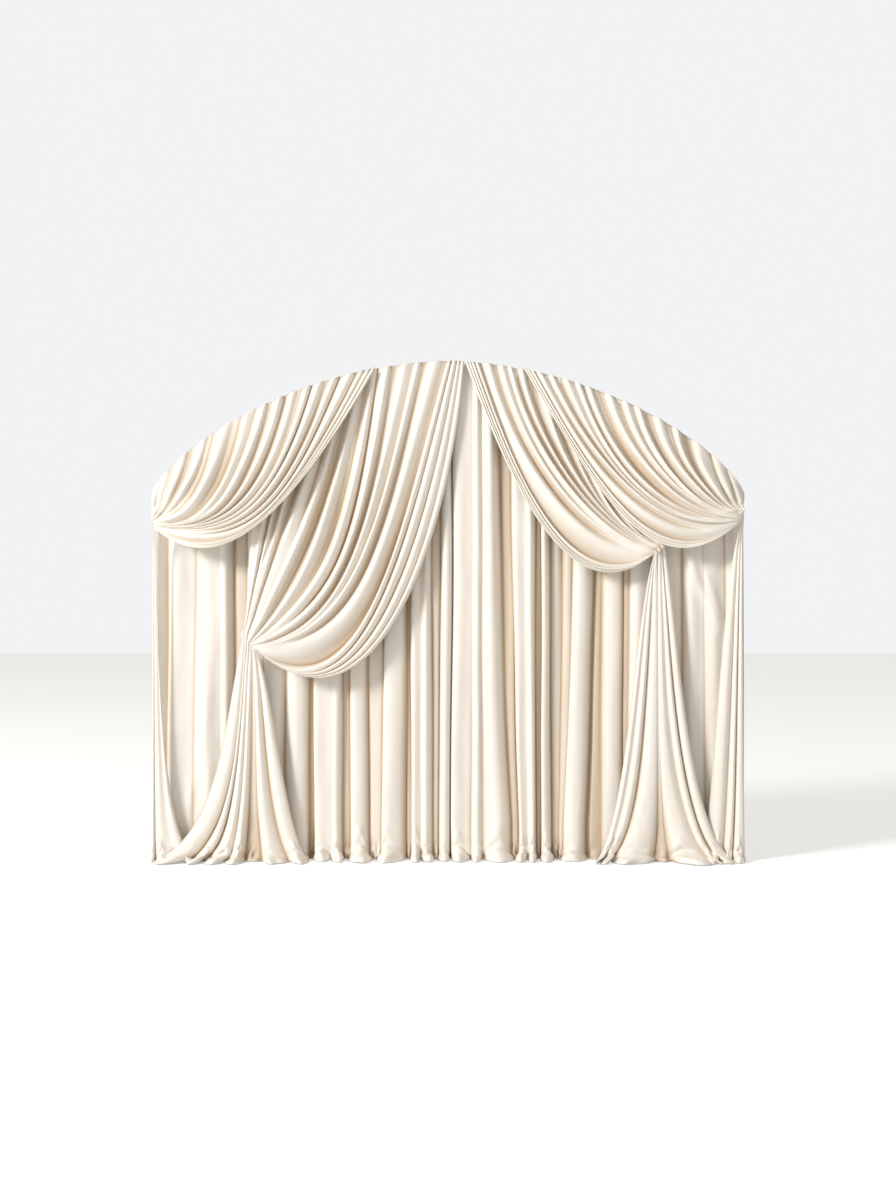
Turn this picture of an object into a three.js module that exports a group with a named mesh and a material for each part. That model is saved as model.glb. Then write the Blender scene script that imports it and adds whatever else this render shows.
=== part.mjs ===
// Velvet backdrop drape: a pleated back curtain with four panels drawn aside over it.
// Millimetres, +Z up, the front faces -Y, +X is to the right of someone who looks at the front.
// The origin is on the crown of the arched top edge, in the plane behind the back curtain.
import * as THREE from 'three';

// Driving dimensions

const HALF_WIDTH = 1400;
const HEIGHT = 2360;
const ARCH = { rise: 640, fullness: 1.8, shoulder: 0.72 };
const SHEET = 2;
const MITRE_LIMIT = 2.2;
const FLOOR_CLEARANCE = 3;
const HEM = FLOOR_CLEARANCE + SHEET - HEIGHT;

// Cloth colours and surface

const VELVET = { color: 0xeadfce, roughness: 0.62, metalness: 0 };
const TIE_VELVET = { color: 0xd8c8b0, roughness: 0.7, metalness: 0 };

// How far down the cloth each CAD row lies: 0 is the top edge, 1 the pinch, 2 the floor.

const PANEL_ROWS = [0, 0.12, 0.25, 0.38, 0.5, 0.62, 0.73, 0.83, 0.92, 1, 1.07, 1.18, 1.4, 1.65, 1.85, 1.95, 2];
const BACK_ROWS = [0, 0.12, 0.3, 0.5, 0.7, 0.85, 0.94, 0.985, 1];

// How the cloth below a pinch spreads to its foot, as shares of its sideways and downward reach

const TAIL = { spread: 0.32, fall: 0.24, kick: 0.62, lift: 0.12 };

// How far a roll in the belly of a swag hangs over the crease below it, in half widths of a fold

const DROOP = 0.3;

// Back curtain: one row for each crease. head and foot are its places across at the top and at the
// floor, top and low are how deep it is there.

const BACK_CREASES = [
  { head: -1400, foot: -1398, top: 14, low: 20 },
  { head: -1325, foot: -1335, top: 20, low: 34 },
  { head: -1190, foot: -1200, top: 16, low: 14 },
  { head: -1080, foot: -1075, top: 18, low: 18 },
  { head: -985, foot: -990, top: 22, low: 46 },
  { head: -870, foot: -880, top: 18, low: 26 },
  { head: -765, foot: -772, top: 20, low: 34 },
  { head: -645, foot: -648, top: 22, low: 46 },
  { head: -485, foot: -478, top: 20, low: 44 },
  { head: -370, foot: -362, top: 22, low: 42 },
  { head: -295, foot: -290, top: 20, low: 36 },
  { head: -190, foot: -196, top: 22, low: 46 },
  { head: -82, foot: -78, top: 18, low: 30 },
  { head: 25, foot: 18, top: 24, low: 44 },
  { head: 145, foot: 150, top: 16, low: 20 },
  { head: 255, foot: 290, top: 26, low: 52 },
  { head: 352, foot: 366, top: 22, low: 36 },
  { head: 432, foot: 430, top: 20, low: 34 },
  { head: 508, foot: 505, top: 22, low: 38 },
  { head: 620, foot: 612, top: 16, low: 16 },
  { head: 722, foot: 716, top: 24, low: 46 },
  { head: 842, foot: 838, top: 22, low: 42 },
  { head: 965, foot: 960, top: 18, low: 30 },
  { head: 1075, foot: 1080, top: 18, low: 24 },
  { head: 1190, foot: 1205, top: 16, low: 16 },
  { head: 1300, foot: 1310, top: 18, low: 26 },
  { head: 1400, foot: 1398, top: 14, low: 20 },
];

// How far forward the ridges of the back curtain stand, down its height

const BACK_STAGES = [
  { at: 0, forward: 40 },
  { at: 0.3, forward: 60 },
  { at: 0.9, forward: 66 },
  { at: 0.97, forward: 78 },
  { at: 1, forward: 104 },
];

// The four drawn panels. side is -1 for a panel tied back to the left and 1 to the right.
// pinch is where all its folds meet: its place, and the width and tilt of the gathered bundle.
// stages: how far forward the ridges stand and how much of each crease shows, down the cloth.
// flow: the path of the cloth from a place on the top edge. It sets off with a lean towards the
// tied side and keeps that way for about drop, and it comes back to the pinch from the direction
// arrive, which it holds for about reach. Below the pinch the same line ends at foot on the floor.
// creases: one row for each crease between two folds, by its place on the top edge, with its depth
// near the top edge, in the belly of the swag and in the tail below the pinch.

const PANELS = [
  {
    name: 'panel_left_inner',
    side: -1,
    pinch: { x: -928, z: -1334, width: 58, tilt: 38 },
    stages: [
      { at: 0, forward: 65.6, fold: 1 },
      { at: 0.5, forward: 142, fold: 1 },
      { at: 0.85, forward: 172, fold: 0.55 },
      { at: 1, forward: 158, fold: 0.12 },
      { at: 1.1, forward: 140, fold: 0.32 },
      { at: 1.5, forward: 138, fold: 1 },
      { at: 1.9, forward: 160, fold: 0.9 },
      { at: 2, forward: 232, fold: 0.6 },
    ],
    flow: [
      { head: -925, lean: 0, drop: 500, arrive: 112, reach: 150, foot: -1300 },
      { head: -800, lean: 1, drop: 450, arrive: 84, reach: 280, foot: -1210 },
      { head: -533, lean: 9, drop: 420, arrive: 66, reach: 420, foot: -1060 },
      { head: -317, lean: 8, drop: 660, arrive: 18, reach: 470, foot: -930 },
      { head: -129, lean: 14, drop: 705, arrive: -2, reach: 520, foot: -800 },
      { head: 2, lean: 15, drop: 700, arrive: -38, reach: 640, foot: -690 },
      { head: 76, lean: 4, drop: 820, arrive: -42, reach: 775, foot: -600 },
    ],
    creases: [
      { head: -925, top: 16, belly: 18, tail: 14 },
      { head: -848, top: 20, belly: 26, tail: 30 },
      { head: -765, top: 22, belly: 30, tail: 26 },
      { head: -640, top: 24, belly: 46, tail: 34 },
      { head: -468, top: 24, belly: 36, tail: 22 },
      { head: -378, top: 24, belly: 34, tail: 40 },
      { head: -325, top: 22, belly: 34, tail: 16 },
      { head: -225, top: 26, belly: 40, tail: 70 },
      { head: -110, top: 26, belly: 44, tail: 24 },
      { head: -26, top: 22, belly: 16, tail: 30 },
      { head: 21, top: 24, belly: 44, tail: 20 },
      { head: 50, top: 16, belly: 20, tail: 26 },
      { head: 76, top: 14, belly: 22, tail: 16 },
    ],
  },
  {
    name: 'panel_right_inner',
    side: 1,
    pinch: { x: 988, z: -893, width: 56, tilt: 42 },
    stages: [
      { at: 0, forward: 66, fold: 1 },
      { at: 0.5, forward: 128, fold: 1 },
      { at: 0.85, forward: 146, fold: 0.5 },
      { at: 1, forward: 140, fold: 0.12 },
      { at: 1.1, forward: 128, fold: 0.32 },
      { at: 1.5, forward: 136, fold: 1 },
      { at: 1.9, forward: 162, fold: 0.9 },
      { at: 2, forward: 236, fold: 0.6 },
    ],
    flow: [
      { head: 80, lean: 20, drop: 610, arrive: -40, reach: 515, foot: 700 },
      { head: 128, lean: 18, drop: 495, arrive: -14, reach: 470, foot: 765 },
      { head: 186, lean: 14, drop: 470, arrive: 5, reach: 390, foot: 830 },
      { head: 298, lean: 12, drop: 430, arrive: 18, reach: 350, foot: 910 },
      { head: 420, lean: 9, drop: 470, arrive: 25, reach: 280, foot: 985 },
      { head: 580, lean: 6, drop: 565, arrive: 27, reach: 220, foot: 1085 },
      { head: 720, lean: 4, drop: 565, arrive: 32, reach: 165, foot: 1160 },
      { head: 960, lean: 1, drop: 330, arrive: 86, reach: 180, foot: 1280 },
    ],
    creases: [
      { head: 80, top: 14, belly: 20, tail: 16 },
      { head: 108, top: 16, belly: 22, tail: 22 },
      { head: 140, top: 22, belly: 40, tail: 30 },
      { head: 222, top: 22, belly: 28, tail: 26 },
      { head: 300, top: 24, belly: 36, tail: 22 },
      { head: 385, top: 22, belly: 34, tail: 70 },
      { head: 490, top: 22, belly: 32, tail: 24 },
      { head: 600, top: 22, belly: 34, tail: 36 },
      { head: 725, top: 20, belly: 30, tail: 22 },
      { head: 850, top: 18, belly: 24, tail: 30 },
      { head: 960, top: 14, belly: 16, tail: 14 },
    ],
  },
  {
    name: 'panel_left_outer',
    side: -1,
    pinch: { x: -1384, z: -776, width: 44, tilt: 72 },
    stages: [
      { at: 0, forward: 91, fold: 1 },
      { at: 0.45, forward: 208, fold: 1 },
      { at: 0.85, forward: 192, fold: 0.5 },
      { at: 1, forward: 150, fold: 0.12 },
      { at: 1.1, forward: 128, fold: 0.4 },
      { at: 1.5, forward: 122, fold: 1 },
      { at: 1.9, forward: 124, fold: 0.9 },
      { at: 2, forward: 150, fold: 0.6 },
    ],
    flow: [
      { head: -1396, lean: 0, drop: 60, arrive: 92, reach: 50, foot: -1396 },
      { head: -1363, lean: 4, drop: 60, arrive: 78, reach: 60, foot: -1384 },
      { head: -1255, lean: 8, drop: 140, arrive: 35, reach: 95, foot: -1362 },
      { head: -985, lean: 11, drop: 330, arrive: -6, reach: 260, foot: -1330 },
      { head: -734, lean: 12, drop: 460, arrive: -9, reach: 400, foot: -1292 },
      { head: -510, lean: 22, drop: 520, arrive: -17, reach: 540, foot: -1258 },
      { head: -341, lean: 29, drop: 565, arrive: -41, reach: 495, foot: -1225 },
    ],
    creases: [
      { head: -1396, top: 10, belly: 12, tail: 4 },
      { head: -1360, top: 16, belly: 18, tail: 4 },
      { head: -1255, top: 24, belly: 30, tail: 14 },
      { head: -1110, top: 20, belly: 24, tail: 4 },
      { head: -985, top: 24, belly: 36, tail: 16 },
      { head: -845, top: 24, belly: 34, tail: 4 },
      { head: -734, top: 26, belly: 38, tail: 18 },
      { head: -659, top: 26, belly: 36, tail: 4 },
      { head: -580, top: 24, belly: 34, tail: 12 },
      { head: -510, top: 24, belly: 32, tail: 4 },
      { head: -415, top: 24, belly: 36, tail: 14 },
      { head: -372, top: 16, belly: 24, tail: 4 },
      { head: -341, top: 12, belly: 16, tail: 6 },
    ],
  },
  {
    name: 'panel_right_outer',
    side: 1,
    pinch: { x: 1384, z: -742, width: 46, tilt: 72 },
    stages: [
      { at: 0, forward: 85.6, fold: 1 },
      { at: 0.45, forward: 200, fold: 1 },
      { at: 0.85, forward: 188, fold: 0.5 },
      { at: 1, forward: 150, fold: 0.12 },
      { at: 1.1, forward: 128, fold: 0.4 },
      { at: 1.5, forward: 122, fold: 1 },
      { at: 1.9, forward: 124, fold: 0.9 },
      { at: 2, forward: 150, fold: 0.6 },
    ],
    flow: [
      { head: 358, lean: 30, drop: 635, arrive: -42, reach: 570, foot: 1212 },
      { head: 400, lean: 27, drop: 565, arrive: -28, reach: 445, foot: 1228 },
      { head: 500, lean: 22, drop: 495, arrive: -20, reach: 380, foot: 1250 },
      { head: 610, lean: 17, drop: 495, arrive: -10, reach: 360, foot: 1272 },
      { head: 810, lean: 14, drop: 360, arrive: 0, reach: 260, foot: 1312 },
      { head: 1040, lean: 10, drop: 280, arrive: 14, reach: 150, foot: 1346 },
      { head: 1190, lean: 8, drop: 200, arrive: 20, reach: 105, foot: 1368 },
      { head: 1285, lean: 8, drop: 120, arrive: 40, reach: 60, foot: 1382 },
      { head: 1396, lean: 0, drop: 40, arrive: 92, reach: 40, foot: 1396 },
    ],
    creases: [
      { head: 358, top: 12, belly: 18, tail: 6 },
      { head: 400, top: 22, belly: 34, tail: 4 },
      { head: 455, top: 18, belly: 24, tail: 14 },
      { head: 505, top: 24, belly: 36, tail: 4 },
      { head: 580, top: 24, belly: 32, tail: 16 },
      { head: 640, top: 20, belly: 26, tail: 4 },
      { head: 718, top: 24, belly: 36, tail: 14 },
      { head: 812, top: 24, belly: 34, tail: 4 },
      { head: 936, top: 24, belly: 34, tail: 18 },
      { head: 1038, top: 22, belly: 30, tail: 4 },
      { head: 1128, top: 22, belly: 28, tail: 14 },
      { head: 1228, top: 20, belly: 24, tail: 4 },
      { head: 1320, top: 16, belly: 18, tail: 4 },
      { head: 1396, top: 10, belly: 12, tail: 4 },
    ],
  },
];

// The twisted tie that holds the right inner panel up at its pinch: an oval band, turned along its way

const TIE = { wide: 28, thick: 15, turns: 1.25, sides: 8, steps: 14 };
const TIE_PATH = [
  { x: 968, forward: 154.5, z: -912 },
  { x: 980, forward: 156.5, z: -898 },
  { x: 996, forward: 156.5, z: -876 },
  { x: 1010, forward: 154.5, z: -848 },
];

// Which of a box's six groups of faces holds those on its back
const BACK_FACES = 2;

const mix = THREE.MathUtils.lerp;
const radians = THREE.MathUtils.degToRad;

// Height of the arched top edge at a place across
function archTop(x) {
  const share = Math.min(Math.abs(x) / HALF_WIDTH, 1);
  return ARCH.rise * ((1 - share ** ARCH.fullness) ** ARCH.shoulder - 1);
}

// Reads a table between its rows, with every column on a smooth curve through them
function readTable(table, key, at) {
  const last = table.length - 1;
  if (at <= table[0][key]) {
    return table[0];
  }
  if (at >= table[last][key]) {
    return table[last];
  }
  const next = table.findIndex((row) => row[key] >= at);
  const [a, b] = [table[next - 1], table[next]];
  const before = table[Math.max(next - 2, 0)];
  const after = table[Math.min(next + 1, last)];
  const span = b[key] - a[key];
  const t = (at - a[key]) / span;
  const row = {};
  for (const column of Object.keys(a)) {
    const slopeA = ((b[column] - before[column]) / (b[key] - before[key])) * span;
    const slopeB = ((after[column] - a[column]) / (after[key] - a[key])) * span;
    row[column] = a[column] * (2 * t ** 3 - 3 * t ** 2 + 1)
      + b[column] * (3 * t ** 2 - 2 * t ** 3)
      + slopeA * (t ** 3 - 2 * t ** 2 + t)
      + slopeB * (t ** 3 - t ** 2);
  }
  return row;
}

// Places for the columns of a sheet: every crease, and the ridge halfway between two creases
function foldColumns(creases) {
  const columns = [];
  creases.forEach((crease, index) => {
    if (index > 0) {
      const previous = creases[index - 1];
      const half = (crease.head - previous.head) / 2;
      columns.push({ head: previous.head + half, half, ridge: true, row: crease });
    }
    columns.push({ head: crease.head, half: 0, ridge: false, row: crease });
  });
  return columns;
}

// The direction in which the thickness of the cloth is measured: it turns up where it meets the floor
function clothNormal(turn) {
  return new THREE.Vector3(0, -Math.cos(turn), Math.sin(turn));
}

// Splits the cells on the back of a flat box along the same diagonals as those on its front, so that
// the two faces of a twisted cell stay a thickness apart
function matchDiagonals(geometry) {
  const index = geometry.getIndex();
  const { start, count } = geometry.groups[BACK_FACES];
  for (let i = start; i < start + count; i += 6) {
    const [a, b, d] = [index.getX(i), index.getX(i + 1), index.getX(i + 2)];
    const c = index.getX(i + 4);
    [a, b, c, a, c, d].forEach((corner, place) => index.setX(i + place, corner));
  }
}

// A flat box of cloth, one cell thick, whose corners are moved to their draped places.
// surface(column, row) gives the point on the front and the direction out of it.
function drapedSheet(columns, rows, surface) {
  const across = columns.length - 1;
  const down = rows.length - 1;
  const front = rows.map((row) => columns.map((column) => surface(column, row)));
  const back = front.map((line) => line.map((place, index) => {
    const beside = [line[Math.max(index - 1, 0)], line[Math.min(index + 1, across)]];
    let mitre = 1;
    for (const other of beside) {
      const step = place.point.clone().sub(other.point);
      const rise = Math.abs(step.dot(place.normal));
      const run = Math.sqrt(Math.max(step.lengthSq() - rise ** 2, 0));
      if (run > 0) {
        mitre = Math.max(mitre, Math.hypot(rise, run) / run);
      }
    }
    const thickness = SHEET * Math.min(mitre, MITRE_LIMIT);
    return place.point.clone().addScaledVector(place.normal, -thickness);
  }));
  const geometry = new THREE.BoxGeometry(1, 1, 1, across, 1, down);
  matchDiagonals(geometry);
  const position = geometry.getAttribute('position');
  for (let i = 0; i < position.count; i += 1) {
    const column = Math.round((position.getX(i) + 0.5) * across);
    const row = Math.round((0.5 - position.getZ(i)) * down);
    const place = position.getY(i) < 0 ? front[row][column].point : back[row][column];
    position.setXYZ(i, place.x, place.y, place.z);
  }
  geometry.computeVertexNormals();
  return geometry;
}

// One corner of the back curtain
function backSurface(column, down) {
  const { head, ridge, row } = column;
  const drift = (row.foot - row.head) * down;
  const x = THREE.MathUtils.clamp(head + drift, -HALF_WIDTH, HALF_WIDTH);
  const z = mix(archTop(x), HEM, down);
  const dip = ridge ? 0 : mix(row.top, row.low, Math.min(down / 0.3, 1));
  const { forward } = readTable(BACK_STAGES, 'at', down);
  const point = new THREE.Vector3(x, dip - forward, z);
  const turn = THREE.MathUtils.smoothstep(down, 0.97, 1) * radians(60);
  return { point, normal: clothNormal(turn) };
}

// The share of a panel's top edge between its tied side and a place on it
function shareAcross(panel, head) {
  const first = panel.creases[0].head;
  const last = panel.creases[panel.creases.length - 1].head;
  const share = (head - first) / (last - first);
  return panel.side < 0 ? share : 1 - share;
}

// Path of the cloth, seen from the front, from a place on the top edge down to the floor
function flowPoint(panel, head, stage) {
  const { side, pinch } = panel;
  const row = readTable(panel.flow, 'head', head);
  const offset = pinch.width * (shareAcross(panel, head) - 0.5);
  const tilt = radians(pinch.tilt);
  const knot = new THREE.Vector2(
    pinch.x - side * offset * Math.cos(tilt),
    pinch.z - offset * Math.sin(tilt),
  );
  if (stage <= 1) {
    const lean = radians(row.lean);
    const arrive = radians(row.arrive);
    const top = new THREE.Vector2(head, archTop(head));
    const leaving = new THREE.Vector2(side * Math.sin(lean), -Math.cos(lean)).multiplyScalar(row.drop);
    const coming = new THREE.Vector2(-side * Math.cos(arrive), Math.sin(arrive)).multiplyScalar(row.reach);
    const curve = new THREE.CubicBezierCurve(top, leaving.add(top), coming.add(knot), knot);
    return curve.getPoint(stage);
  }
  const foot = new THREE.Vector2(row.foot, HEM);
  const reach = foot.clone().sub(knot);
  const below = new THREE.Vector2(knot.x + TAIL.spread * reach.x, knot.y + TAIL.fall * reach.y);
  const above = new THREE.Vector2(foot.x - TAIL.kick * reach.x, foot.y - TAIL.lift * reach.y);
  return new THREE.CubicBezierCurve(knot, below, above, foot).getPoint(stage - 1);
}

// One corner of a drawn panel
function panelSurface(panel, column, stage) {
  const { forward, fold } = readTable(panel.stages, 'at', stage);
  const belly = THREE.MathUtils.smoothstep(stage, 0.05, 0.5) * (stage < 1 ? 1 : 0);
  const droop = column.ridge ? DROOP * column.half * belly * THREE.MathUtils.smoothstep(1 - stage, 0, 0.2) : 0;
  const flat = flowPoint(panel, column.head - panel.side * droop, stage);
  const x = THREE.MathUtils.clamp(flat.x, -HALF_WIDTH, HALF_WIDTH);
  const { top, belly: full, tail } = column.row;
  const depth = stage <= 1 ? mix(top, full, THREE.MathUtils.smoothstep(stage, 0, 0.5)) : tail;
  const dip = column.ridge ? 0 : depth * fold;
  const point = new THREE.Vector3(x, dip - forward, flat.y);
  const turn = THREE.MathUtils.smoothstep(stage, 1.9, 2) * radians(60);
  return { point, normal: clothNormal(turn) };
}

// The tie: a closed tube whose rings are moved along its path and turned on the way
function twistedBand() {
  const points = TIE_PATH.map(({ x, forward, z }) => new THREE.Vector3(x, -forward, z));
  const path = new THREE.CatmullRomCurve3(points);
  const geometry = new THREE.CylinderGeometry(1, 1, 1, TIE.sides, TIE.steps);
  const position = geometry.getAttribute('position');
  const outwards = new THREE.Vector3(0, -1, 0);
  for (let i = 0; i < position.count; i += 1) {
    const along = position.getY(i) + 0.5;
    const tangent = path.getTangentAt(along);
    const sideways = tangent.clone().cross(outwards).normalize();
    const over = sideways.clone().cross(tangent);
    const angle = 2 * Math.PI * TIE.turns * along;
    const wide = position.getX(i) * TIE.wide / 2;
    const thick = position.getZ(i) * TIE.thick / 2;
    const place = path.getPointAt(along)
      .addScaledVector(sideways, wide * Math.cos(angle) - thick * Math.sin(angle))
      .addScaledVector(over, wide * Math.sin(angle) + thick * Math.cos(angle));
    position.setXYZ(i, place.x, place.y, place.z);
  }
  geometry.computeVertexNormals();
  return geometry;
}

// Names a sheet and gives it its cloth
function clothMesh(name, geometry, finish) {
  const mesh = new THREE.Mesh(geometry, new THREE.MeshStandardMaterial(finish));
  mesh.name = name;
  return mesh;
}

const drape = new THREE.Group();

drape.add(clothMesh('back_curtain', drapedSheet(foldColumns(BACK_CREASES), BACK_ROWS, backSurface), VELVET));

for (const panel of PANELS) {
  const surface = (column, stage) => panelSurface(panel, column, stage);
  drape.add(clothMesh(panel.name, drapedSheet(foldColumns(panel.creases), PANEL_ROWS, surface), VELVET));
}

drape.add(clothMesh('twisted_tie', twistedBand(), TIE_VELVET));

export default drape;
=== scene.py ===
"""Looks of a velvet backdrop drape: a pleated back curtain and four panels drawn aside over it.

Every sheet of cloth is a bmesh grid whose points are moved to their draped places. The tables hold
millimetres, as a maker would note them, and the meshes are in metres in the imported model's frame:
+X to the right, -Y out of the front, +Z up, from the crown of the arched top edge.
"""
import logging
import math
from dataclasses import dataclass
from enum import Enum

import bmesh
import bpy
import numpy as np
from mathutils import Matrix, Vector


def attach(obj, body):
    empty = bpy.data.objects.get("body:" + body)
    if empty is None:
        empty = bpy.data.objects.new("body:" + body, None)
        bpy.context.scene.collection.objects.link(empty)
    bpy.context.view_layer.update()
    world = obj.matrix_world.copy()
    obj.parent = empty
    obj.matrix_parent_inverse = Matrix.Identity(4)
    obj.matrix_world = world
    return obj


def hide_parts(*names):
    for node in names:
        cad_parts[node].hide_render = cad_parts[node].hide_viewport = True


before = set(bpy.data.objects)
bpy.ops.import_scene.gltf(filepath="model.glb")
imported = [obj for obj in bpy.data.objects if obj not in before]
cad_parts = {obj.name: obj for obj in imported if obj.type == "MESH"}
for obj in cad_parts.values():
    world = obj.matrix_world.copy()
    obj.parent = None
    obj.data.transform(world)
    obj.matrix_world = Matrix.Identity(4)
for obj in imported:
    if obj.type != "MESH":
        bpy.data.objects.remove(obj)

LOG = logging.getLogger("drape")

MM = 0.001
BODY = "root"

# Sizes of the drape and its arch, in millimetres.
HALF_WIDTH = 1400.0
HEIGHT = 2360.0
ARCH_RISE = 640.0
CLOTH_THICKNESS = 2.0
FLOOR_CLEARANCE = 3.0
HEM = FLOOR_CLEARANCE + CLOTH_THICKNESS - HEIGHT
# Farthest forward that any cloth comes.
FRONT = 249.0

# Powers of the arch's curve: its fullness at the crown and at its shoulders.
ARCH_FULLNESS = 1.8
ARCH_SHOULDER = 0.72

# Brings a smoothed lattice back to values between about -1 and 1.
LATTICE_GAIN = 1.7
# Height of the cloth's small wrinkles, against its pile.
WRINKLE_HEIGHT = 6.0


class Side(Enum):
    """Side that a panel is drawn to, as the sign of its direction across."""

    LEFT = -1
    RIGHT = 1


class Held(Enum):
    HUNG = "hung"
    GATHERED = "gathered"


def smooth(low: float, high: float, value: np.ndarray) -> np.ndarray:
    """Rises smoothly from 0 at low to 1 at high.

    Args:
        low: Where the rise starts.
        high: Where the rise ends.
        value: Where it is read.

    Returns:
        The height of the rise there, from 0 to 1.
    """
    share = np.clip((value - low) / (high - low), 0.0, 1.0)
    return share * share * (3.0 - 2.0 * share)


def bump(value: np.ndarray, middle: np.ndarray, wide: np.ndarray) -> np.ndarray:
    """Rises smoothly to 1 at the middle, and falls off over about the width on both sides."""
    return np.exp(-(((value - middle) / wide) ** 2))


def mix(first: np.ndarray, second: np.ndarray, share: np.ndarray) -> np.ndarray:
    """Goes from the first value to the second as the share goes from 0 to 1."""
    return first + (second - first) * share


def arch_top(across: np.ndarray) -> np.ndarray:
    """Height of the arched top edge.

    Args:
        across: Places across, in millimetres.

    Returns:
        Heights, in millimetres: 0 at the crown and negative to the sides.
    """
    share = np.clip(np.abs(across) / HALF_WIDTH, 0.0, 1.0)
    return ARCH_RISE * ((1.0 - share ** ARCH_FULLNESS) ** ARCH_SHOULDER - 1.0)


def column(rows: tuple, name: str) -> np.ndarray:
    """One column of a table, from the rows' fields of that name."""
    return np.array([getattr(row, name) for row in rows], float)


def finished_mesh(name: str, shaped: bmesh.types.BMesh) -> bpy.types.Mesh:
    """Turns a bmesh into a mesh.

    Args:
        name: Name of the mesh.
        shaped: The bmesh, which is freed.

    Returns:
        The mesh.
    """
    mesh = bpy.data.meshes.new(name)
    shaped.to_mesh(mesh)
    shaped.free()
    return mesh


def add_object(name: str, data: bpy.types.ID) -> bpy.types.Object:
    """Adds an object to the scene.

    Args:
        name: Name of the object.
        data: Its mesh, light or camera.

    Returns:
        The object, at the origin.
    """
    added = bpy.data.objects.new(name, data)
    bpy.context.scene.collection.objects.link(added)
    return added


@dataclass(frozen=True)
class CurveTable:
    """Rows of a table, read between them on a smooth curve.

    Attributes:
        rows: The rows, frozen dataclasses of one kind, in the order of their key.
        key: Name of the column that the others are read by.
    """

    rows: tuple
    key: str

    def read(self, name: str, at: np.ndarray) -> np.ndarray:
        """Reads one column.

        Args:
            name: Column to read.
            at: Values of the key column. Beyond the ends the curve goes on straight.

        Returns:
            The column's values there.
        """
        keys, values = column(self.rows, self.key), column(self.rows, name)
        slopes = np.empty_like(values)
        slopes[1:-1] = (values[2:] - values[:-2]) / (keys[2:] - keys[:-2])
        slopes[0] = (values[1] - values[0]) / (keys[1] - keys[0])
        slopes[-1] = (values[-1] - values[-2]) / (keys[-1] - keys[-2])
        inside = np.clip(at, keys[0], keys[-1])
        low = np.clip(np.searchsorted(keys, inside, side="right") - 1, 0, len(keys) - 2)
        span = keys[low + 1] - keys[low]
        t = (inside - keys[low]) / span
        curve = (
            values[low] * (2 * t**3 - 3 * t**2 + 1)
            + values[low + 1] * (3 * t**2 - 2 * t**3)
            + slopes[low] * span * (t**3 - 2 * t**2 + t)
            + slopes[low + 1] * span * (t**3 - t**2)
        )
        beyond = np.where(at < keys[0], slopes[0] * (at - keys[0]), slopes[-1] * (at - keys[-1]))
        return curve + np.where(inside == at, 0.0, beyond)


@dataclass(frozen=True)
class Drift:
    """Smooth, repeatable unevenness between -1 and 1, from a seeded lattice.

    Attributes:
        seed: Seed of the lattice's values.
        across: Cells of the lattice across.
        down: Cells of the lattice down.
    """

    seed: int
    across: int
    down: int

    def read(self, x: np.ndarray, y: np.ndarray) -> np.ndarray:
        """Reads the unevenness.

        Args:
            x: Shares across, from 0 to 1.
            y: Shares down, from 0 to 1.

        Returns:
            Its values there.
        """
        lattice = np.random.default_rng(self.seed).uniform(-1.0, 1.0, (self.down + 4, self.across + 4))
        cell_x, part_x = self.split(np.clip(x, 0.0, 1.0) * self.across)
        cell_y, part_y = self.split(np.clip(y, 0.0, 1.0) * self.down)
        total = 0.0
        for row, weight_y in enumerate(self.weights(part_y)):
            for step, weight_x in enumerate(self.weights(part_x)):
                total = total + lattice[cell_y + row, cell_x + step] * weight_x * weight_y
        return LATTICE_GAIN * total

    @staticmethod
    def split(place: np.ndarray) -> tuple[np.ndarray, np.ndarray]:
        """Splits places into whole cells and the part of a cell."""
        cell = np.floor(place).astype(int)
        return cell, place - cell

    @staticmethod
    def weights(part: np.ndarray) -> tuple[np.ndarray, ...]:
        """Weights of the four lattice points around a place, on a cubic spline.

        Args:
            part: The part of a cell that the place has gone.

        Returns:
            The four weights.
        """
        return (
            (1 - part) ** 3 / 6,
            (3 * part**3 - 6 * part**2 + 4) / 6,
            (-3 * part**3 + 3 * part**2 + 3 * part + 1) / 6,
            part**3 / 6,
        )


@dataclass(frozen=True)
class Crease:
    """One crease between two folds, and the fold on its right.

    Attributes:
        head: Place on the top edge.
        top: Depth near the top edge.
        belly: Depth in the belly of a swag, or halfway down.
        tail: Depth near the floor.
        foot: Place at the floor, used by the back curtain only.
        back: How far the fold's ridge stands back.
        lap: How far the fold leans over its neighbour: to the left below 0, to the right above.
        flat: How flat the fold's front is: 2 is round.
        gap: Width of the crease's flat floor, as a share of the folds beside it.
        soft: 0 for a hard crease, 1 for a soft trough.
        end: Stage down the cloth where it has run out.
        lies: Share of the sheet's bend and train that the fold has on the floor.
    """

    head: float
    top: float
    belly: float
    tail: float
    foot: float = 0.0
    back: float = 0.0
    lap: float = 0.0
    flat: float = 2.3
    gap: float = 0.0
    soft: float = 0.2
    end: float = 9.0
    lies: float = 1.0


@dataclass(frozen=True)
class Stage:
    """How far forward the ridges stand at a stage down the cloth, and the share of each crease that shows."""

    at: float
    forward: float
    fold: float = 1.0


@dataclass(frozen=True)
class Flow:
    """Path of the cloth from a place on the top edge to the pinch and on to the floor.

    Attributes:
        head: Place on the top edge.
        lean: Degrees from straight down towards the tied side, at the top edge.
        drop: How far it keeps that way.
        arrive: Degrees above level from which it comes to the pinch.
        reach: How far it has held that way.
        foot: Place where it comes to the floor.
        flare: 0 where it spreads early below the pinch, 1 where it spreads late.
        sweep: Degrees that its train turns on the floor, from straight forward: to the left below 0.
        train: How far it runs on along the floor.
    """

    head: float
    lean: float
    drop: float
    arrive: float
    reach: float
    foot: float
    flare: float = 1.0
    sweep: float = 0.0
    train: float = 40.0


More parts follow.
